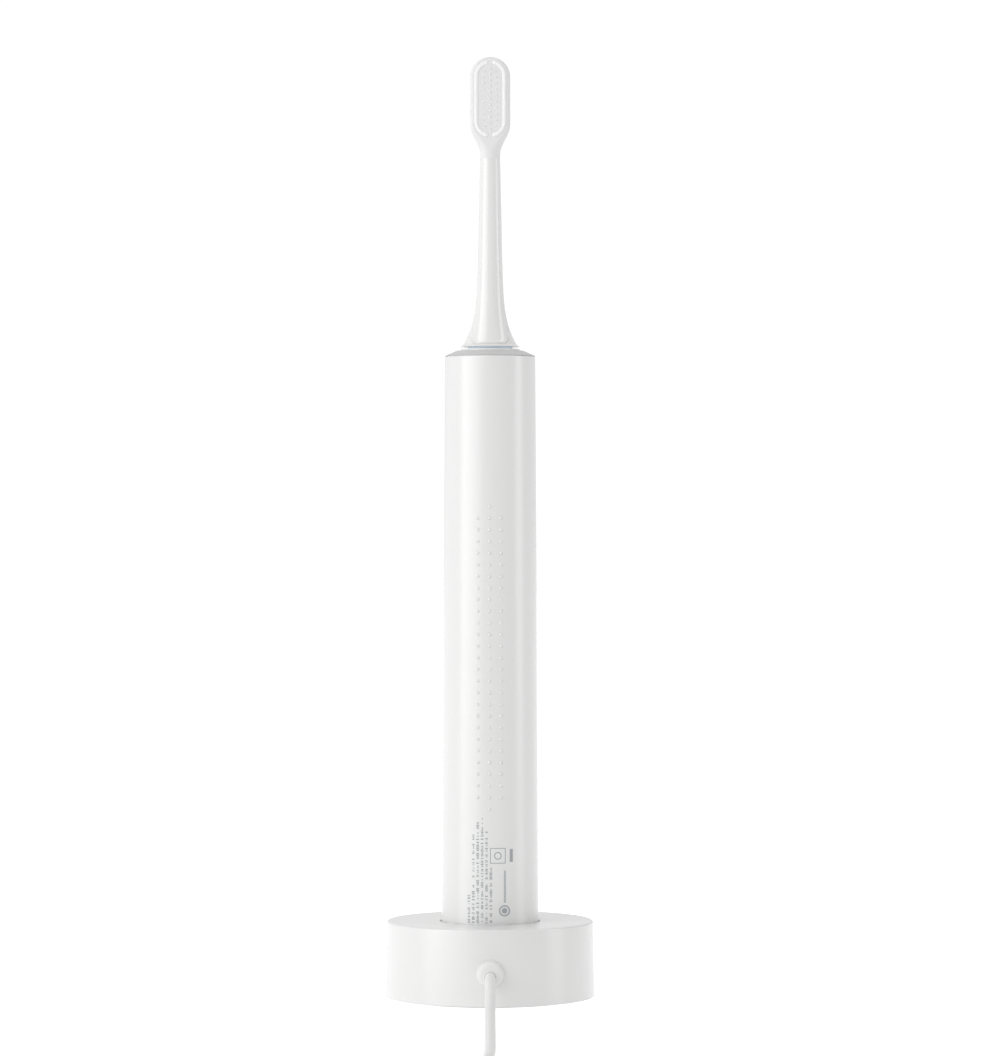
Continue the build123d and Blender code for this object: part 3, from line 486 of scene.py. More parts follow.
def circle(radius, z, count, centre=(0, 0)):
    """Points round an upright axis."""
    return [
        (
            centre[0] + radius * math.cos(math.tau * i / count),
            centre[1] + radius * math.sin(math.tau * i / count),
            z,
        )
        for i in range(count)
    ]


def corner(r, z, radius, start, turn=90, steps=6):
    """Points of a small arc in an outline of (radius, z), round a centre."""
    return [
        (
            r + radius * math.cos(math.radians(start + turn * i / steps)),
            z + radius * math.sin(math.radians(start + turn * i / steps)),
        )
        for i in range(steps + 1)
    ]


def lathe(outline, count=192, closed=True):
    """A bmesh turned round the upright axis from an outline of (radius, z)."""
    mesh = bmesh.new()
    rows = [circle(max(r, 1e-6), z, count) for r, z in outline]
    if closed:
        rows.append(rows[0])
    grid_faces(mesh, rows)
    return mesh


def aim(mesh, rotation, place):
    """Turn a bmesh by degrees and move it."""
    turn = Euler([math.radians(a) for a in rotation]).to_matrix().to_4x4()
    bmesh.ops.transform(mesh, matrix=Matrix.Translation(place) @ turn, verts=mesh.verts)


def join(target, other):
    """Add one bmesh to another and free it."""
    data = bpy.data.meshes.new("joined")
    other.to_mesh(data)
    other.free()
    target.from_mesh(data)
    bpy.data.meshes.remove(data)


def pill(half_w, half_h, y_low, y_high, z, steps=12):
    """A prism along Y with an upright rounded outline, as a bmesh."""
    outline = []
    straight = half_h - half_w
    for i in range(2 * steps + 2):
        side = 1 if i <= steps else -1
        share = i if i <= steps else i - 1
        angle = math.pi * share / steps
        x = half_w * math.cos(angle)
        rise = half_w * math.sin(angle)
        outline.append((x, z + side * straight + rise))
    mesh = bmesh.new()
    rows = [[(x, y, height) for x, height in outline] for y in (y_low, y_high)]
    grid_faces(mesh, rows, cap=True)
    bmesh.ops.recalc_face_normals(mesh, faces=mesh.faces)
    return mesh


def carve(made, cutter):
    """Cut a bmesh in mm out of an object in metres."""
    bmesh.ops.scale(cutter, vec=(MM, MM, MM), verts=cutter.verts)
    data = bpy.data.meshes.new("cutter")
    cutter.to_mesh(data)
    cutter.free()
    tool = bpy.data.objects.new("cutter", data)
    bpy.context.collection.objects.link(tool)
    cut = made.modifiers.new("cut", "BOOLEAN")
    cut.object = tool
    cut.solver = "EXACT"
    bpy.context.view_layer.update()
    graph = bpy.context.evaluated_depsgraph_get()
    result = bpy.data.meshes.new_from_object(made.evaluated_get(graph))
    made.modifiers.clear()
    old = made.data
    name = old.name
    made.data = result
    bpy.data.meshes.remove(old)
    result.name = name
    result.set_sharp_from_angle(angle=math.radians(SHARP))
    bpy.data.objects.remove(tool)
    bpy.data.meshes.remove(data)


# Camera and lead ---------------------------------------------------------------------


def make_camera():
    """A long lens, level with the middle of the brush, from behind it."""
    lens = bpy.data.cameras.new("camera")
    lens.lens = LENS
    lens.shift_x, lens.shift_y = LENS_SHIFT
    lens.clip_end = CLIP_END
    camera = bpy.data.objects.new("camera", lens)
    camera.location = CAMERA_PLACE
    camera.rotation_euler = (math.pi / 2, 0, 0)
    bpy.context.collection.objects.link(camera)
    bpy.context.scene.camera = camera


def strand_offset(turn):
    """How far out and up a turn lies from the coil's ring.

    The low turns go inwards on the table. Then the lead climbs over the last of them, and the
    others go outwards on top, each in the groove between two low ones.
    """
    step = STRAND_PITCH
    climb_from = LOW_TURNS - 1
    if turn <= climb_from:
        return (climb_from / 2 - turn) * step, 0.0
    if turn <= LOW_TURNS:
        climb = math.pi - (math.pi - NEST_ANGLE) * (turn - climb_from)
        inward = (climb_from / 2 - turn + 1) * step
        return inward + step * math.cos(climb), step * math.sin(climb)
    return (turn - LOW_TURNS - 1) * step, step * math.sin(NEST_ANGLE)


def coil_points():
    """The coil's turns, lifted a little where the tie passes under them."""
    grow = 1 / math.cos(math.pi / COIL_STEPS)
    points = []
    for i in range(1, COIL_TURNS * COIL_STEPS):
        turn = i / COIL_STEPS
        out, up = strand_offset(turn)
        angle = math.pi + math.tau * turn
        away = abs(math.remainder(angle, math.tau))
        lift = (TIE_T + TIE_GAP) * max(0.0, min(1.0, LIFT_START - LIFT_FALL * away))
        radius = (COIL_RING_R + out) * grow
        x = COIL_CENTRE[0] + radius * math.cos(angle)
        y = COIL_CENTRE[1] + radius * math.sin(angle)
        points.append((x, y, CORD_D / 2 + up + lift))
    return points


def cord_points():
    """The lead from the gland to the coil, its turns, and the tail to the plug."""
    low = CORD_D / 2
    x, y = COIL_CENTRE
    into = x - COIL_RING_R - 1.5 * STRAND_PITCH
    out = x - COIL_RING_R - 2 * STRAND_PITCH
    top = low + STRAND_PITCH * math.sin(NEST_ANGLE)
    route = [
        (0.0, -30.0, CORD_Z),
        (0.0, -38.0, 8.5),
        (0.0, -46.5, low),
        (0.0, -100.0, low),
        (0.0, -156.0, low),
        (-6.2, -190.0, low),
        (into, y, low),
    ]
    tail = [(out, y, top), (out - 0.4, y - 9.0, 4.1), (out - 0.4, y - 18.0, 4.0)]
    return route + coil_points() + tail


def make_cord():
    """The whole lead as one smooth round curve."""
    curve = bpy.data.curves.new("lead", "CURVE")
    curve.dimensions = "3D"
    curve.bevel_depth = CORD_D / 2 * MM
    curve.bevel_resolution = 6
    curve.resolution_u = 6
    points = cord_points()
    spline = curve.splines.new("NURBS")
    spline.points.add(len(points) - 1)
    for target, point in zip(spline.points, points):
        target.co = (*(c * MM for c in point), 1)
    spline.order_u = 3
    spline.use_endpoint_u = True
    curve.materials.append(MATERIALS["cord_jacket"])
    made = bpy.data.objects.new("lead", curve)
    bpy.context.collection.objects.link(made)
    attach(made, "charger")
    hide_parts("charging_cord", "cord_coil", "cord_tail")
    return made


# Charger -----------------------------------------------------------------------------


def make_housing():
    """The puck: tapered side, crisp rounded rims, the well and its post."""
    roof = CHARGER_TOP_Z - CHARGER_WALL
    post_bore = POST_R - POST_WALL
    under = WELL_FLOOR_Z - WELL_WALL
    outline = [(CHARGER_R_LOW - CHARGER_WALL, FOOT_GAP)]
    outline += corner(CHARGER_R_LOW - FOOT_EDGE, FOOT_GAP + FOOT_EDGE, FOOT_EDGE, -90)
    outline += corner(CHARGER_R_TOP - RIM_EDGE, CHARGER_TOP_Z - RIM_EDGE, RIM_EDGE, 0, steps=10)
    outline += corner(WELL_R + WELL_EDGE, CHARGER_TOP_Z - WELL_EDGE, WELL_EDGE, 90, steps=8)
    outline += [(WELL_R, WELL_FLOOR_Z + WELL_FILLET)]
    outline += corner(WELL_R - WELL_FILLET, WELL_FLOOR_Z + WELL_FILLET, WELL_FILLET, 0, turn=-90)
    outline += corner(POST_R + POST_FILLET, WELL_FLOOR_Z + POST_FILLET, POST_FILLET, -90, turn=-90)
    outline += corner(POST_R - POST_EDGE, POST_TOP_Z - POST_EDGE, POST_EDGE, 0)
    outline += [(0, POST_TOP_Z), (0, POST_TOP_Z - POST_WALL), (post_bore, POST_TOP_Z - POST_WALL)]
    outline += [(post_bore, under), (WELL_R + WELL_WALL, under)]
    outline += [(WELL_R + WELL_WALL, roof), (CHARGER_R_TOP - CHARGER_WALL, roof)]
    made = piece("charger_puck", lathe(outline, 256), "charger", "white_shell", "charger_housing")
    carve(made, gland_hole())
    return made


def gland_hole():
    """A cutter for the gland's hole in the side of the puck."""
    radius = GLAND_R - 0.05
    inside, outside = 25, 36
    outline = [(0, inside), (radius, inside), (radius, outside), (0, outside)]
    hole = lathe(outline, 64, closed=False)
    aim(hole, (90, 0, 0), (0, 0, GLAND_Z))
    bmesh.ops.remove_doubles(hole, verts=hole.verts, dist=MERGE)
    bmesh.ops.recalc_face_normals(hole, faces=hole.faces)
    return hole


def make_gland():
    """The domed bush, with a small lip that follows the lead."""
    bore = CORD_D / 2 + CORD_CLEAR
    hold_front = GLAND_HOLD + GLAND_HOLD_T
    rim = GLAND_BACK + GLAND_RIM
    outline = [(bore, GLAND_HOLD), (GLAND_HOLD_R, GLAND_HOLD), (GLAND_HOLD_R, hold_front)]
    outline += [(GLAND_STEM_R, hold_front), (GLAND_STEM_R, GLAND_BACK)]
    outline += [(GLAND_R, GLAND_BACK), (GLAND_R, rim)]
    steps = 12
    for i in range(1, steps + 1):
        angle = math.pi / 2 * i / steps
        r = GLAND_NOSE_R + (GLAND_R - GLAND_NOSE_R) * math.cos(angle)
        outline.append((r, rim + (GLAND_FRONT - rim) * math.sin(angle)))
    lip = ((1.98, 0.04), (1.94, 0.2), (1.8, 0.32), (1.6, 0.32), (bore, 0.26))
    outline += [(r, GLAND_FRONT + ahead) for r, ahead in lip]
    mesh = lathe(outline, 96)
    aim(mesh, (90, 0, 0), (0, 0, GLAND_Z))
    for vert in mesh.verts:
        out = math.hypot(vert.co.x, vert.co.z - GLAND_Z)
        ahead = max(0.0, -vert.co.y - CHARGER_R_LOW)
        drop = GLAND_Z - CORD_Z + LEAD_SLOPE * ahead + LEAD_BEND * ahead**2
        vert.co.z -= drop * (1 - smooth((out - GLAND_FIXED_R) / (GLAND_R - GLAND_FIXED_R - 0.2)))
    return piece("gland", mesh, "charger", "cord_jacket", "cord_gland")


def make_relief():
    """The plug's grooved strain relief."""
    low, high = span_y("usb_strain_relief")
    x, z = plug_axis()
    bore = CORD_D / 2 + CORD_CLEAR
    outline = [(bore, 0)]
    steps = 60
    for i in range(steps + 1):
        share = i / steps
        groove = 0.0
        if RELIEF_GROOVED[0] < share < RELIEF_GROOVED[1]:
            groove = RELIEF_GROOVE * max(0.0, math.sin(math.tau * RELIEF_GROOVES * share)) ** 2
        outline.append((RELIEF_R - RELIEF_TAPER * share - groove, (high - low) * share))
    outline.append((bore, high - low))
    mesh = lathe(outline, 64)
    aim(mesh, (-90, 0, 0), (x, low, z))
    return piece("plug_relief", mesh, "charger", "cord_jacket", "usb_strain_relief")


def span_y(node):
    """The lowest and highest Y of a CAD node, in mm."""
    low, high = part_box(node)
    return low[1] * 1000, high[1] * 1000


def plug_axis():
    """X and Z of the plug's middle line, in mm."""
    low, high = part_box("usb_plug_body")
    return (low[0] + high[0]) / 2 * 1000, (low[2] + high[2]) / 2 * 1000


def rounded_loop(half_w, half_h, radius, steps=6):
    """Points round a rectangle with round corners, in two coordinates."""
    points = []
    for quarter, (sx, sz) in enumerate(((1, 1), (-1, 1), (-1, -1), (1, -1))):
        for i in range(steps + 1):
            angle = math.pi / 2 * (quarter + i / steps)
            x = sx * (half_w - radius) + radius * math.cos(angle)
            z = sz * (half_h - radius) + radius * math.sin(angle)
            points.append((x, z))
    return points


def make_plug_body():
    """The moulded grip: waisted, with finger ribs, and a slot that holds the metal sleeve."""
    low, high = span_y("usb_plug_body")
    x, z = plug_axis()
    length = high - low
    slot = rounded_loop(SLOT_HALF_W, SLOT_HALF_H, SLOT_CORNER)
    rows = [[(x + px, low + y, z + pz) for px, pz in slot] for y in (SLOT_DEPTH, 0.0)]
    steps = 88
    for i in range(steps + 1):
        y = length * i / steps
        half_w, half_h = plug_section(y, length)
        loop = rounded_loop(half_w, half_h, PLUG_CORNER)
        rows.append([(x + px, low + y, z + pz) for px, pz in loop])
    mesh = bmesh.new()
    grid_faces(mesh, rows, cap=True)
    return piece("plug_grip", mesh, "charger", "cord_jacket", "usb_plug_body")


def plug_section(y, length):
    """Half width and half height of the grip, at a distance from the end that holds the sleeve."""
    ends = min(y, length - y)
    draw = PLUG_EDGE - math.sqrt(max(0.0, PLUG_EDGE**2 - (PLUG_EDGE - min(PLUG_EDGE, ends)) ** 2))
    taper = PLUG_TAPER * max(0.0, (y - PLUG_TAPER_FROM * length) / length) ** 1.5
    ribs = 0.0
    first, last = PLUG_RIBS
    if first < y < last:
        ribs = PLUG_RIB_DEPTH * max(0.0, math.sin(math.pi * (y - first))) ** 2
    return PLUG_HALF_W - draw - taper - ribs, PLUG_HALF_H - draw - 0.6 * taper


def strands_at_tie(y):
    """X and Z of each strand of the coil where it passes through the tie, at a Y from its middle."""
    places = []
    for number in range(COIL_TURNS):
        out, up = strand_offset(number + 0.5)
        reach = math.sqrt((COIL_RING_R + out) ** 2 - y * y)
        places.append((COIL_CENTRE[0] + reach, CORD_D / 2 + up + TIE_T + TIE_GAP))
    return places


def tie_loop(y, outer):
    """Points of the strap round the strands, which is thicker where its end laps over the top."""
    steps = 72
    strands = strands_at_tie(y)
    points = []
    for k in range(steps):
        angle = math.tau * k / steps
        dx, dz = math.cos(angle), math.sin(angle)
        x, z = max(strands, key=lambda strand: strand[0] * dx + strand[1] * dz)
        lap = TIE_LAP if TIE_LAP_FROM < angle < TIE_LAP_TO else 0.0
        reach = CORD_D / 2 + TIE_GAP + (TIE_T + lap if outer else 0.0)
        points.append((x + reach * dx, COIL_CENTRE[1] + y, z + reach * dz))
    return points


def make_tie():
    """A woven strap drawn round the coil."""
    steps = 8
    places = [TIE_HALF_W * (2 * i / steps - 1) for i in range(steps + 1)]
    rows = [tie_loop(y, True) for y in places]
    rows += [tie_loop(y, False) for y in reversed(places)]
    rows.append(rows[0])
    mesh = bmesh.new()
    grid_faces(mesh, rows)
    return piece("lead_tie", mesh, "charger", "tie_strap", "cord_tie")


# Handle ------------------------------------------------------------------------------


def handle_radius(z):
    """Outer radius of the tapered handle at a height."""
    share = (z - HANDLE_LOW_Z) / (HANDLE_TOP_Z - HANDLE_LOW_Z)
    return HANDLE_R_LOW + share * (HANDLE_R_TOP - HANDLE_R_LOW)


def make_handle():
    """The tapered tube, with openings for the button and the light."""
    low_edge, top_edge = HANDLE_LOW_EDGE, HANDLE_TOP_EDGE
    outline = [(HANDLE_R_LOW - HANDLE_WALL, HANDLE_LOW_Z)]
    outline += corner(HANDLE_R_LOW - low_edge, HANDLE_LOW_Z + low_edge, low_edge, -90, steps=8)
    rows = 70
    straight = HANDLE_TOP_Z - HANDLE_LOW_Z - HANDLE_ENDS
    for i in range(1, rows):
        z = HANDLE_LOW_Z + low_edge + straight * i / rows
        outline.append((handle_radius(z), z))
    outline += corner(HANDLE_R_TOP - top_edge, HANDLE_TOP_Z - top_edge, top_edge, 0)
    outline += [(HANDLE_R_TOP - HANDLE_WALL, HANDLE_TOP_Z)]
    made = piece("handle", lathe(outline, 256), "handle", "white_shell", "handle_shell")
    carve(made, pill(BUTTON_HALF_W, BUTTON_HALF_H, CUT_FROM_Y, CUT_TO_Y, BUTTON_Z))
    carve(made, pill(LIGHT_R, LIGHT_R + 0.01, CUT_FROM_Y, CUT_TO_Y, LIGHT_Z))
    return made


def on_handle(x, z, rise):
    """The point on the back of the handle at a sideways distance and height."""
    radius = handle_radius(z)
    angle = math.asin(x / radius)
    reach = radius + rise
    return reach * math.sin(angle), -reach * math.cos(angle), z


def make_grip_dots():
    """Three columns of small domes."""
    mesh = bmesh.new()
    foot = DOT_R + 0.05
    steps = 6
    for column in (-1, 0, 1):
        missing = abs(column)
        for row in range(missing, DOT_COUNT - missing):
            z = DOT_LOW_Z + row * DOT_PITCH
            outline = [(0, -DOT_ROOT), (foot, -DOT_ROOT), (foot, 0)]
            for i in range(1, steps + 1):
                angle = math.pi / 2 * i / steps
                outline.append((DOT_R * math.cos(angle), DOT_RISE * math.sin(angle)))
            pip = lathe(outline, 20, closed=False)
            x, y, _ = on_handle(column * DOT_PITCH + DOT_SHIFT_X, z, -0.01)
            turn = math.degrees(math.atan2(x, -y))
            aim(pip, (90, 0, 0), (0, 0, 0))
            aim(pip, (0, 0, turn), (x, y, z))
            join(mesh, pip)
    return piece("grip_dot_field", mesh, "handle", "white_shell", "grip_dots", sharp=50)


def bar_on_handle(mesh, x, z):
    """A thin printed patch that follows the handle, between two x and two z values."""
    steps = max(1, round((x[1] - x[0]) / 0.4))
    rows = []
    for i in range(steps + 1):
        px = x[0] + (x[1] - x[0]) * i / steps
        corners = ((z[0], -PRINT_SUNK), (z[0], PRINT_RISE), (z[1], PRINT_RISE), (z[1], -PRINT_SUNK))
        rows.append([on_handle(px, pz, height) for pz, height in corners])
    grid_faces(mesh, rows, cap=True)


def ring_on_handle(mesh, x, z, outer, inner):
    """A thin printed ring that follows the handle."""
    count = 28
    for i in range(count):
        a, b = (math.tau * k / count for k in (i, i + 1))
        rows = []
        for height in (-PRINT_SUNK, PRINT_RISE):
            rows.append([
                on_handle(x + r * math.cos(t), z + r * math.sin(t), height)
                for r, t in ((inner, a), (outer, a), (outer, b), (inner, b))
            ])
        grid_faces(mesh, rows, cap=True)


def mark_columns(mesh):
    """Plain blocks of random lengths in upright columns."""
    for number, top in enumerate(MARK_COLUMN_TOPS):
        x = MARK_LEFT_X + number * MARK_PITCH
        z = top
        while z > CHARGER_TOP_Z + 0.5:
            length = random.uniform(0.18, 0.42)
            inset = random.choice((0.0, 0.12, 0.3))
            if random.random() < MARK_SHARE:
                sides = (x - MARK_HALF_W + inset, x + MARK_HALF_W - inset / 2)
                bar_on_handle(mesh, sides, (z - length, z))
            z -= length + random.choice((0.12, 0.12, 0.16, 0.5))


def mark_frame(mesh):
    """A square frame round a small ring."""
    x0, x1, z0, z1 = MARK_FRAME
    stroke = MARK_STROKE
    for x in ((x0, x0 + stroke), (x1 - stroke, x1)):
        bar_on_handle(mesh, x, (z0, z1))
    for z in ((z0, z0 + stroke), (z1 - stroke, z1)):
        bar_on_handle(mesh, (x0, x1), z)
    ring_on_handle(mesh, (x0 + x1) / 2, (z0 + z1) / 2, *MARK_EYE)


def mark_word(mesh):
    """A narrow column of blocks."""
    low, z = MARK_WORD_Z
    while z > low:
        length = random.uniform(0.25, 0.45)
        bar_on_handle(mesh, MARK_WORD_X, (z - length, z))
        z -= length + MARK_WORD_GAP


def make_marks():
    """Plain grey shapes, which stand for small print and say nothing."""
    random.seed(SEED)
    mesh = bmesh.new()
    mark_columns(mesh)
    mark_frame(mesh)
    bar_on_handle(mesh, *MARK_BAR)
    mark_word(mesh)
    for outer, inner in MARK_RING_R:
        ring_on_handle(mesh, *MARK_RING, outer, inner)
    made = piece("print_blocks", mesh, "handle", "white_shell")
    made.data.materials.clear()
    made.data.materials.append(material("print_grey", (0.42, 0.44, 0.46), 0.5, shade=0.85))
    return made


def make_shoulder():
    """The conical top of the handle, with softened edges. Its grey is painted shade: the same white
    plastic as the handle, darkened for a face that turns upwards.
    """
    skirt_r = HANDLE_R_TOP - HANDLE_WALL - COLLAR_GAP
    seat_r = COLLAR_R + COLLAR_GAP
    skirt_z = HANDLE_TOP_Z - SHOULDER_SKIRT
    seat_z = SHOULDER_TOP_Z - SHOULDER_SEAT
    low_edge = ((-0.12, 0), (-0.02, 0.05), (-0.04, 0.16))
    top_edge = ((0.2, -0.09), (0.08, -0.02), (-0.05, 0))
    outline = [(SEAL_R, skirt_z), (skirt_r, skirt_z), (skirt_r, HANDLE_TOP_Z)]
    outline += [(HANDLE_R_TOP + out, HANDLE_TOP_Z + up) for out, up in low_edge]
    outline += [(SHOULDER_R_TOP + out, SHOULDER_TOP_Z + up) for out, up in top_edge]
    outline += [(seat_r, SHOULDER_TOP_Z), (seat_r, seat_z), (SEAL_R, seat_z)]
    return piece("shoulder", lathe(outline), "handle", "shoulder_grey", "handle_shoulder")


def make_collar():
    """The pale ring on the shoulder."""
    seat_z = SHOULDER_TOP_Z - SHOULDER_SEAT
    edge = COLLAR_EDGE
    outline = [(SEAL_R, seat_z), (COLLAR_R, seat_z)]
    outline += corner(COLLAR_R - edge, COLLAR_TOP_Z - edge, edge, 0, steps=4)
    outline += [(SEAL_R, COLLAR_TOP_Z)]
    return piece("collar", lathe(outline), "handle", "collar_white", "handle_collar")


# Brush head --------------------------------------------------------------------------


def smooth(value):
    """A soft step from 0 to 1."""
    value = max(0.0, min(1.0, value))
    return value * value * (3 - 2 * value)


def neck_radius(z):
    """The neck's radius at a height, from a smooth line through its main points."""
    points = NECK_PROFILE
    last = len(points) - 2
    k = next((i for i in range(last) if z < points[i + 1][0]), last)
    (z1, r1), (z2, r2) = points[k], points[k + 1]
    before, after = points[max(0, k - 1)], points[min(last + 1, k + 2)]
    slope1 = (r2 - before[1]) / (z2 - before[0])
    slope2 = (after[1] - r1) / (after[0] - z1)
    t = max(0.0, min(1.0, (z - z1) / (z2 - z1)))
    h = z2 - z1
    return (
        (2 * t**3 - 3 * t**2 + 1) * r1
        + (t**3 - 2 * t**2 + t) * h * slope1
        + (3 * t**2 - 2 * t**3) * r2
        + (t**3 - t**2) * h * slope2
    )


def panel_relief(x, z, radius):
    """How far the neck's back stands out: a raised panel inside a shallow groove."""
    straight = PANEL_HALF_W - PANEL_NARROWING * (z - PANEL_LOW_Z)
    follow = PANEL_OF_NECK * radius
    half = (straight + follow - math.sqrt((straight - follow) ** 2 + 0.03)) / 2
    inside_x = half - abs(x)
    inside_z = z - SKIRT_LOW_Z - PANEL_UP
    if inside_x < PANEL_CORNER and inside_z < PANEL_CORNER:
        away = PANEL_CORNER - math.hypot(PANEL_CORNER - inside_x, PANEL_CORNER - inside_z)
    else:
        away = min(inside_x, inside_z)
    fade = 1 - smooth((z - PANEL_FADE_Z) / PANEL_FADE)
    groove = PANEL_GROOVE * math.exp(-(((away + 0.1) / PANEL_GROOVE_W) ** 2))
    return fade * (PANEL_RISE * smooth((away + 0.05) / 0.4) - groove)


def head_section(z):
    """Half width, back depth, front depth and the two corner radii of the head at a height."""
    grow = smooth((z - NECK_TOP_Z) / (HEAD_FULL_Z - NECK_TOP_Z))
    r = neck_radius(min(z, NECK_TOP_Z))
    half, back, front, soft, crisp = (
        r + (full - r) * grow
        for full in (HEAD_HALF_W, HEAD_BACK, HEAD_FRONT, HEAD_SOFT_R, HEAD_CRISP_R)
    )
    if z > HEAD_CENTRE_Z:
        half = math.sqrt(max(0.0, HEAD_HALF_W**2 - (z - HEAD_CENTRE_Z) ** 2))
    rise = z - HEAD_TOP_Z + HEAD_TOP_EDGE
    if rise > 0:
        thin = HEAD_TOP_EDGE - math.sqrt(max(0.0, HEAD_TOP_EDGE**2 - rise**2))
        back -= thin
        front -= HEAD_TOP_FRONT * thin / HEAD_TOP_EDGE
    return half, back, front, min(soft, half), min(crisp, half)


def head_loop(z, offset=0.0, steps=12, flats=8):
    """Points round the head at a height, starting on the right and passing the back first."""
    half, back, front, soft, crisp = head_section(z)
    half, back, front = (max(v + offset, 0.0) for v in (half, back, front))
    corners = ((1, -1, soft, back), (-1, -1, soft, back), (-1, 1, crisp, front), (1, 1, crisp, front))
    points = []
    for sx, sy, rx, depth in corners:
        ry = min(rx if half > rx else max(rx, HEAD_CRISP_R), depth)
        for i in range(steps + 1):
            share = i / steps if sx * sy < 0 else 1 - i / steps
            angle = math.pi / 2 * share
            x = half - rx + rx * math.cos(angle)
            y = depth - ry + ry * math.sin(angle)
            points.append((sx * x, sy * y))
    loop = []
    for i in range(len(corners)):
        quarter = points[i * (steps + 1):(i + 1) * (steps + 1)]
        following = points[((i + 1) * (steps + 1)) % len(points)]
        loop += quarter
        for k in range(1, flats):
            a, b = Vector(quarter[-1]), Vector(following)
            loop.append(tuple(a.lerp(b, k / flats)))
    return [(x, y, z) for x, y in loop]


def head_rows():
    """Heights of the head's rows, closer together towards its round top."""
    steps = 66
    rows = [COVER_LOW_Z + (HEAD_CENTRE_Z - COVER_LOW_Z) * i / steps for i in range(steps)]
    arcs = 26
    rows += [HEAD_CENTRE_Z + HEAD_HALF_W * math.sin(math.pi / 2 * i / arcs) for i in range(arcs + 1)]
    return rows


def neck_step(z):
    """The distance to the neck's next row, fine where the panel's outline turns."""
    return next((step for top, step in NECK_STEPS if z < top), NECK_LAST_STEP)


def make_neck():
    """The glossy moulding: flared skirt, raised panel, long neck and the head's front."""
    count = 360
    mesh = bmesh.new()
    mouth = ((SKIRT_MOUTH_R, RING_TOP_Z), (SKIRT_MOUTH_R, SKIRT_LOW_Z + 0.1))
    mouth += ((SKIRT_MOUTH_R + 0.1, SKIRT_LOW_Z), (SKIRT_R - SKIRT_LIP, SKIRT_LOW_Z))
    rows = [circle(r, z, count) for r, z in mouth]
    z = SKIRT_LOW_Z + 0.06
    while z < COVER_LOW_Z + 1.0:
        row = []
        radius = neck_radius(z)
        for x, y, _ in circle(1.0, z, count):
            relief = panel_relief(x * radius, z, radius) if y < 0 else 0.0
            row.append((x * (radius + relief), y * (radius + relief), z))
        rows.append(row)
        z += neck_step(z)
    grid_faces(mesh, rows, cap=True)
    head = [head_loop(z, -COVER_OVERLAP) for z in head_rows()]
    grid_faces(mesh, head, cap=True)
    return piece("neck", mesh, "brush_head", "neck_gloss", "head_core", sharp=50)


def cover_line(z, offset):
    """Points of the cover's section at a height, from one edge over the back to the other."""
    half, back, _, soft, _ = head_section(z)
    a, b = max(half + offset, 0.0), max(back + offset, 0.0)
    rx = min(soft, a)
    ry = min(max(soft, HEAD_CRISP_R), b)
    edge = min(COVER_SPLIT, max(b - ry, 0.0))
    steps, flats = 14, 10
    side = [(a, -edge)]
    for i in range(steps + 1):
        t = math.pi / 2 * i / steps
        side.append((a - rx + rx * math.cos(t), -(b - ry + ry * math.sin(t))))
    flat = a - rx
    middle = [(flat - 2 * flat * k / flats, -b) for k in range(1, flats)]
    line = side + middle + [(-x, y) for x, y in reversed(side)]
    return [(x, y, z) for x, y in line]


def make_cover():
    """The matte moulding on the back: a shell that wraps the head and ends in a step."""
    mesh = bmesh.new()
    loops = []
    for z in head_rows():
        loops.append(cover_line(z, COVER_PROUD) + list(reversed(cover_line(z, -COVER_T))))
    grid_faces(mesh, loops, cap=True)
    return piece("head_back", mesh, "brush_head", "head_matte", "head_cover", sharp=50)


def stadium(share, half_w, half_h, z):
    """X and Z of a point on an upright rounded outline, by its share of the way round."""
    straight = 2 * (half_h - half_w)
    arc = math.pi * half_w
    way = (share % 1.0) * (2 * straight + 2 * arc)
    if way < arc:
        angle = way / half_w
        return half_w * math.cos(angle), z + straight / 2 + half_w * math.sin(angle)
    way -= arc
    if way < straight:
        return -half_w, z + straight / 2 - way
    way -= straight
    if way < arc:
        angle = math.pi + way / half_w
        return half_w * math.cos(angle), z - straight / 2 + half_w * math.sin(angle)
    return half_w, z - straight / 2 + (way - arc)


def make_ribs():
    """Two round-topped ribs, shaped like brackets, with a gap at the top and the bottom."""
    mesh = bmesh.new()
    half = RIB_STROKE / 2
    mid_w, mid_h = RIB_W / 2 - half, RIB_H / 2 - half
    length = 4 * (mid_h - mid_w) + math.tau * mid_w
    quarter = math.pi * mid_w / 2 / length
    margin = (RIB_GAP / 2 + half) / length
    steps = 90
    for start in (quarter, quarter + 0.5):
        rows = []
        first, last = start + margin, start + 0.5 - margin
        for i in range(steps + 1):
            share = first + (last - first) * i / steps
            x, z = stadium(share, mid_w, mid_h, RIB_CENTRE_Z)
            x2, z2 = stadium(share + 0.001, mid_w, mid_h, RIB_CENTRE_Z)
            across = Vector((z2 - z, -(x2 - x))).normalized()
            rows.append(rib_row(x, z, across, half))
        ahead = Vector((rows[1][0][0] - rows[0][0][0], rows[1][0][2] - rows[0][0][2]))
        grid_faces(mesh, rib_end(rows[0], -ahead.normalized(), half) + rows, cap=True)
        behind = Vector((rows[-1][0][0] - rows[-2][0][0], rows[-1][0][2] - rows[-2][0][2]))
        grid_faces(mesh, list(reversed(rib_end(rows[-1], behind.normalized(), half))), cap=True)
    return piece("head_ribs", mesh, "brush_head", "rib_white", "cover_ribs", sharp=60)


def rib_row(x, z, across, half):
    """A cross-section of a rib: low sides and a crowned top."""
    row = []
    steps = 10
    for i in range(steps + 1):
        angle = math.pi * i / steps
        out = half * math.cos(angle)
        up = RIB_RISE * math.sin(angle) ** RIB_FULLNESS if 0 < i < steps else -RIB_ROOT
        row.append((x + across[0] * out, -HEAD_BACK - up, z + across[1] * out))
    return row


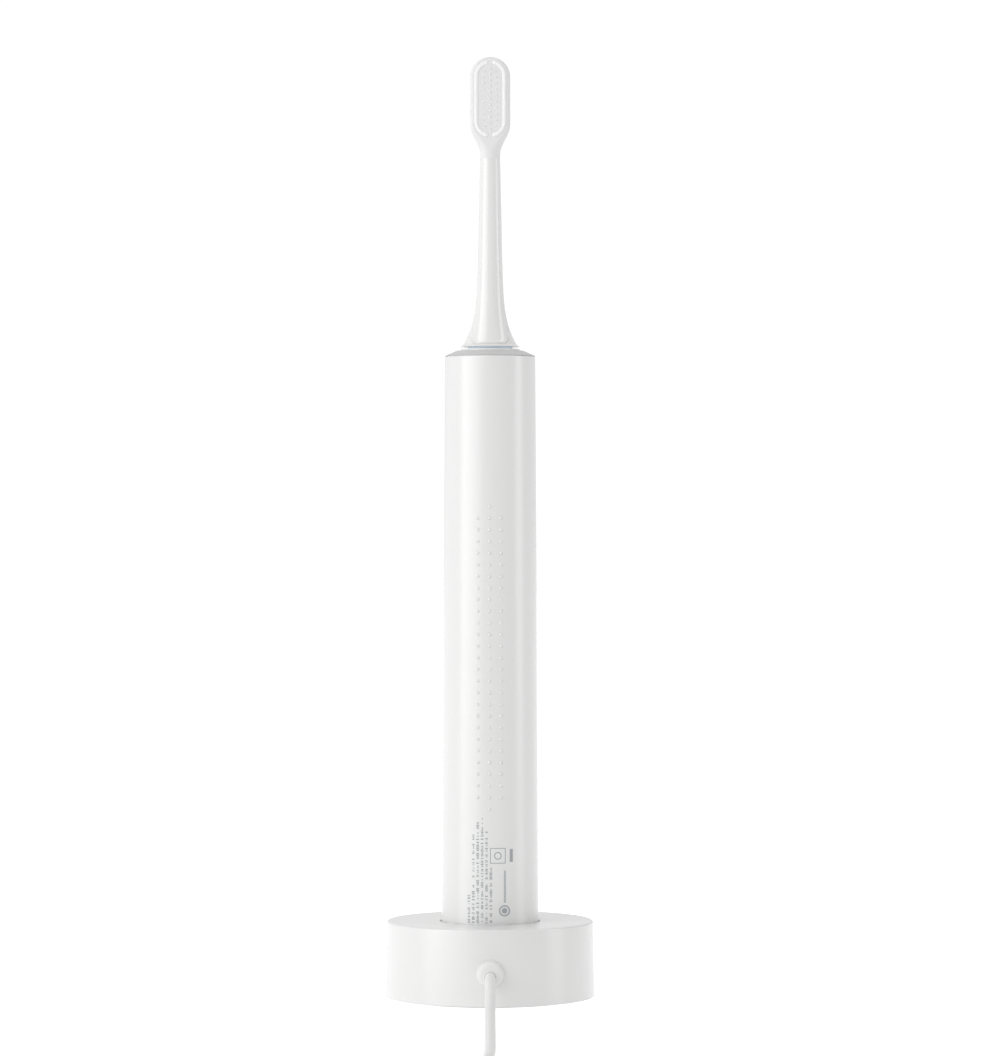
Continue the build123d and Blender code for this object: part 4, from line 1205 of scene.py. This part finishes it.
def rib_end(row, ahead, half):
    """Rows that round off a rib's end."""
    centre = Vector(row[0]).lerp(Vector(row[-1]), 0.5)
    rows = []
    for share in (1.0, 0.86, 0.5):
        squeeze = math.sqrt(max(0.0, 1 - share * share))
        moved = []
        for x, y, z in row:
            px = centre.x + (x - centre.x) * squeeze + ahead[0] * half * share
            pz = centre.z + (z - centre.z) * squeeze + ahead[1] * half * share
            low = -HEAD_BACK + RIB_ROOT
            moved.append((px, low + (y - low) * max(squeeze, 0.25), pz))
        rows.append(moved)
    rows.append(row)
    return rows


def make_head_dots():
    """Three columns of tiny domes between the ribs."""
    first = RIB_CENTRE_Z - PIP_PITCH * (PIP_COUNT - 1) / 2
    mesh = bmesh.new()
    for column in (-1, 0, 1):
        shift = PIP_PITCH / 2 if column else 0.0
        last = PIP_COUNT - abs(column) - 1
        size = PIP_SIDE_R if column else PIP_R
        for row in range(last + 1):
            z = first + shift + row * PIP_PITCH
            x = column * PIP_COLUMN_X
            if column and row in (0, last):
                x -= column * PIP_END_INSET
            outline = [(0, -PIP_ROOT), (size, -PIP_ROOT), (size, 0)]
            outline += [(size * math.cos(t), size * math.sin(t)) for t in (0.4, 0.8, 1.2, math.pi / 2)]
            pip = lathe(outline, 14, closed=False)
            aim(pip, (90, 0, 0), (x, -HEAD_BACK - 0.02, z))
            join(mesh, pip)
    return piece("head_dot_field", mesh, "brush_head", "head_matte", "cover_dots", sharp=50)


def make_head_ring():
    """The coloured ring in the skirt's mouth. Its material is lightened and glows a little: painted light
    that lifts it out of the shade in the narrow gap under the skirt.
    """
    low, top, outer, edge = RING_LOW_Z, RING_TOP_Z, SKIRT_MOUTH_R, 0.1
    outline = [(RING_BORE, low), (outer - edge, low), (outer, low + edge), (outer, top), (RING_BORE, top)]
    return piece("user_ring", lathe(outline), "brush_head", "ring_blue", "head_ring")


def tuft_places():
    """X and Z of each tuft, and its row, in staggered rows inside the head's outline."""
    places = []
    pitch_x, pitch_z = TUFT_PITCH
    room = HEAD_HALF_W - TUFT_EDGE
    rows = int((HEAD_TOP_Z - TUFT_TOP_GAP - TUFT_LOW_Z) / pitch_z) + 1
    for row in range(rows):
        z = TUFT_LOW_Z + row * pitch_z
        count = TUFT_ROW - row % 2
        for column in range(count):
            x = (column - (count - 1) / 2) * pitch_x
            above = math.hypot(x, max(0.0, z - HEAD_CENTRE_Z))
            below = math.hypot(x, max(0.0, TUFT_BEND_Z - z))
            if above <= room and below <= room:
                places.append((x, z, row))
    return places


def upright_ring(x, y, z, radius, count):
    """Points round an axis along Y."""
    return [
        (x + radius * math.cos(math.tau * k / count), y, z + radius * math.sin(math.tau * k / count))
        for k in range(count)
    ]


def tuft_core(mesh, x, z, length):
    """The solid middle of a tuft, which fills the space between its filaments."""
    root = HEAD_FRONT - TUFT_ROOT
    ends = ((0.85, root), (0.85, length - 0.5), (0.6, length - 0.3))
    rows = [upright_ring(x, y, z, TUFT_R * share, 12) for share, y in ends]
    grid_faces(mesh, rows, cap=True)


def filament(mesh, x, z, length, number):
    """One nylon filament of a tuft: it leans out a little and has a rounded tip."""
    angle = number * GOLDEN_ANGLE
    out = TUFT_R * math.sqrt((number + 0.5) / HAIR_COUNT)
    dx, dz = out * math.cos(angle), out * math.sin(angle)
    lean = 0.12 + 0.05 * random.random()
    tip = length - 0.12 * random.random() - 0.25 * (out / TUFT_R) ** 3
    rows = []
    for share, size in ((0, 1), (0.55, 1), (0.97, 1), (0.992, 0.7), (1, 0.25)):
        spread = 1 + lean * share * share
        y = HEAD_FRONT - TUFT_ROOT + (tip + TUFT_ROOT) * share
        rows.append(upright_ring(x + dx * spread, y, z + dz * spread, HAIR_R * size, 5))
    grid_faces(mesh, rows, cap=True)


def make_bristles():
    """Every tuft as a bundle of fine filaments, trimmed in waves."""
    random.seed(SEED)
    mesh = bmesh.new()
    for x, z, row in tuft_places():
        length = TUFT_LENGTH + TUFT_WAVE * math.cos(row * math.pi / 2)
        tuft_core(mesh, x, z, length)
        for number in range(HAIR_COUNT):
            filament(mesh, x, z, length, number)
    return piece("bristles", mesh, "brush_head", "bristles", "bristle_tufts", sharp=60)


# Studio ------------------------------------------------------------------------------


def make_floor():
    """A large pale floor that runs into the white backdrop and mirrors the soft boxes."""
    mesh = bmesh.new()
    side = FLOOR_SIDE
    outline = ((-side, -side), (side, -side), (side, side), (-side, side))
    mesh.faces.new([mesh.verts.new((x, y, FLOOR_Z)) for x, y in outline])
    data = bpy.data.meshes.new("floor")
    mesh.to_mesh(data)
    mesh.free()
    floor = bpy.data.objects.new("floor", data)
    bpy.context.collection.objects.link(floor)
    made = bpy.data.materials.new("floor_white")
    made.use_nodes = True
    tree = made.node_tree
    shader = tree.nodes["Principled BSDF"]
    shader.inputs["Base Color"].default_value = (FLOOR_GREY, FLOOR_GREY, FLOOR_GREY, 1)
    shader.inputs["Roughness"].default_value = FLOOR_ROUGH
    gloss = seen_or_not(tree, 0.0, FLOOR_GLOSS)
    tree.links.new(gloss, shader.inputs["Specular IOR Level"])
    shader.inputs["Emission Color"].default_value = (1, 1, 1, 1)
    level = seen_or_not(tree, 1.0, FLOOR_LEVEL)
    tree.links.new(level, shader.inputs["Emission Strength"])
    data.materials.append(made)
    floor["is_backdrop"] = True


def seen_or_not(tree, seen, lighting):
    """A level that the camera sees, and another that lights the brush."""
    path = tree.nodes.new("ShaderNodeLightPath")
    level = tree.nodes.new("ShaderNodeMapRange")
    level.inputs["To Min"].default_value = lighting
    level.inputs["To Max"].default_value = seen
    tree.links.new(path.outputs["Is Camera Ray"], level.inputs["Value"])
    return level.outputs["Result"]


def make_softbox(name, azimuth, width, level):
    """A tall upright soft box, at an angle round the brush."""
    tall = BOX_HIGH - BOX_LOW
    middle = (BOX_HIGH + BOX_LOW) / 2
    light = bpy.data.lights.new(name, "AREA")
    light.shape = "RECTANGLE"
    light.size = width
    light.size_y = tall
    light.energy = level * math.pi * width * tall
    made = bpy.data.objects.new(name, light)
    turn = math.radians(azimuth)
    made.location = (BOX_DISTANCE * math.sin(turn), -BOX_DISTANCE * math.cos(turn), middle)
    made.rotation_euler = (math.pi / 2, 0, turn)
    bpy.context.collection.objects.link(made)


def make_world():
    """A white backdrop for the camera, and softer even light on the brush."""
    world = bpy.data.worlds.new("studio")
    world.use_nodes = True
    tree = world.node_tree
    place = tree.nodes.new("ShaderNodeTexCoord")
    lean = tree.nodes.new("ShaderNodeVectorMath")
    lean.operation = "DOT_PRODUCT"
    lean.inputs[1].default_value = WORLD_LEAN
    tree.links.new(place.outputs["Generated"], lean.inputs[0])
    total = tree.nodes.new("ShaderNodeMath")
    total.inputs[1].default_value = WORLD_LEVEL
    tree.links.new(lean.outputs["Value"], total.inputs[0])
    level = seen_or_not(tree, BACKDROP_LEVEL, WORLD_LEVEL)
    tree.links.new(total.outputs["Value"], level.node.inputs["To Min"])
    background = tree.nodes["Background"]
    tree.links.new(level, background.inputs["Strength"])
    background.inputs["Color"].default_value = (1, 1, 1, 1)
    bpy.context.scene.world = world


def make_studio():
    """Floor, world, a bank of key lights that dims towards the camera, and a fill."""
    bpy.context.scene.view_settings.view_transform = "Standard"
    make_floor()
    make_world()
    for number in range(KEY_COUNT):
        azimuth = KEY_FIRST + number * KEY_STEP
        make_softbox(f"key_{number}", azimuth, KEY_WIDTH, KEY_LEVEL - number * KEY_FALL)
    make_softbox("fill", FILL_AZIMUTH, FILL_WIDTH, FILL_LEVEL)


# Build -------------------------------------------------------------------------------

MATERIALS = make_materials()

make_camera()
lead = make_cord()
gland = make_gland()
relief = make_relief()
grip = make_plug_body()
tie = make_tie()

make_housing()
make_handle()
make_grip_dots()
make_marks()
make_shoulder()
make_collar()
make_neck()
make_cover()
make_ribs()
make_head_dots()
make_head_ring()
make_bristles()

for row in frame["record"]["subparts"]:
    node = frame["nodes"][row["node"]]
    node.data.materials.clear()
    node.data.materials.append(MATERIALS[row["material_slot"]])

make_studio()

boxes = {"cad": cad_box, "visual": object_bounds()}
boxes = {name: [[float(c) for c in point] for point in box] for name, box in boxes.items()}
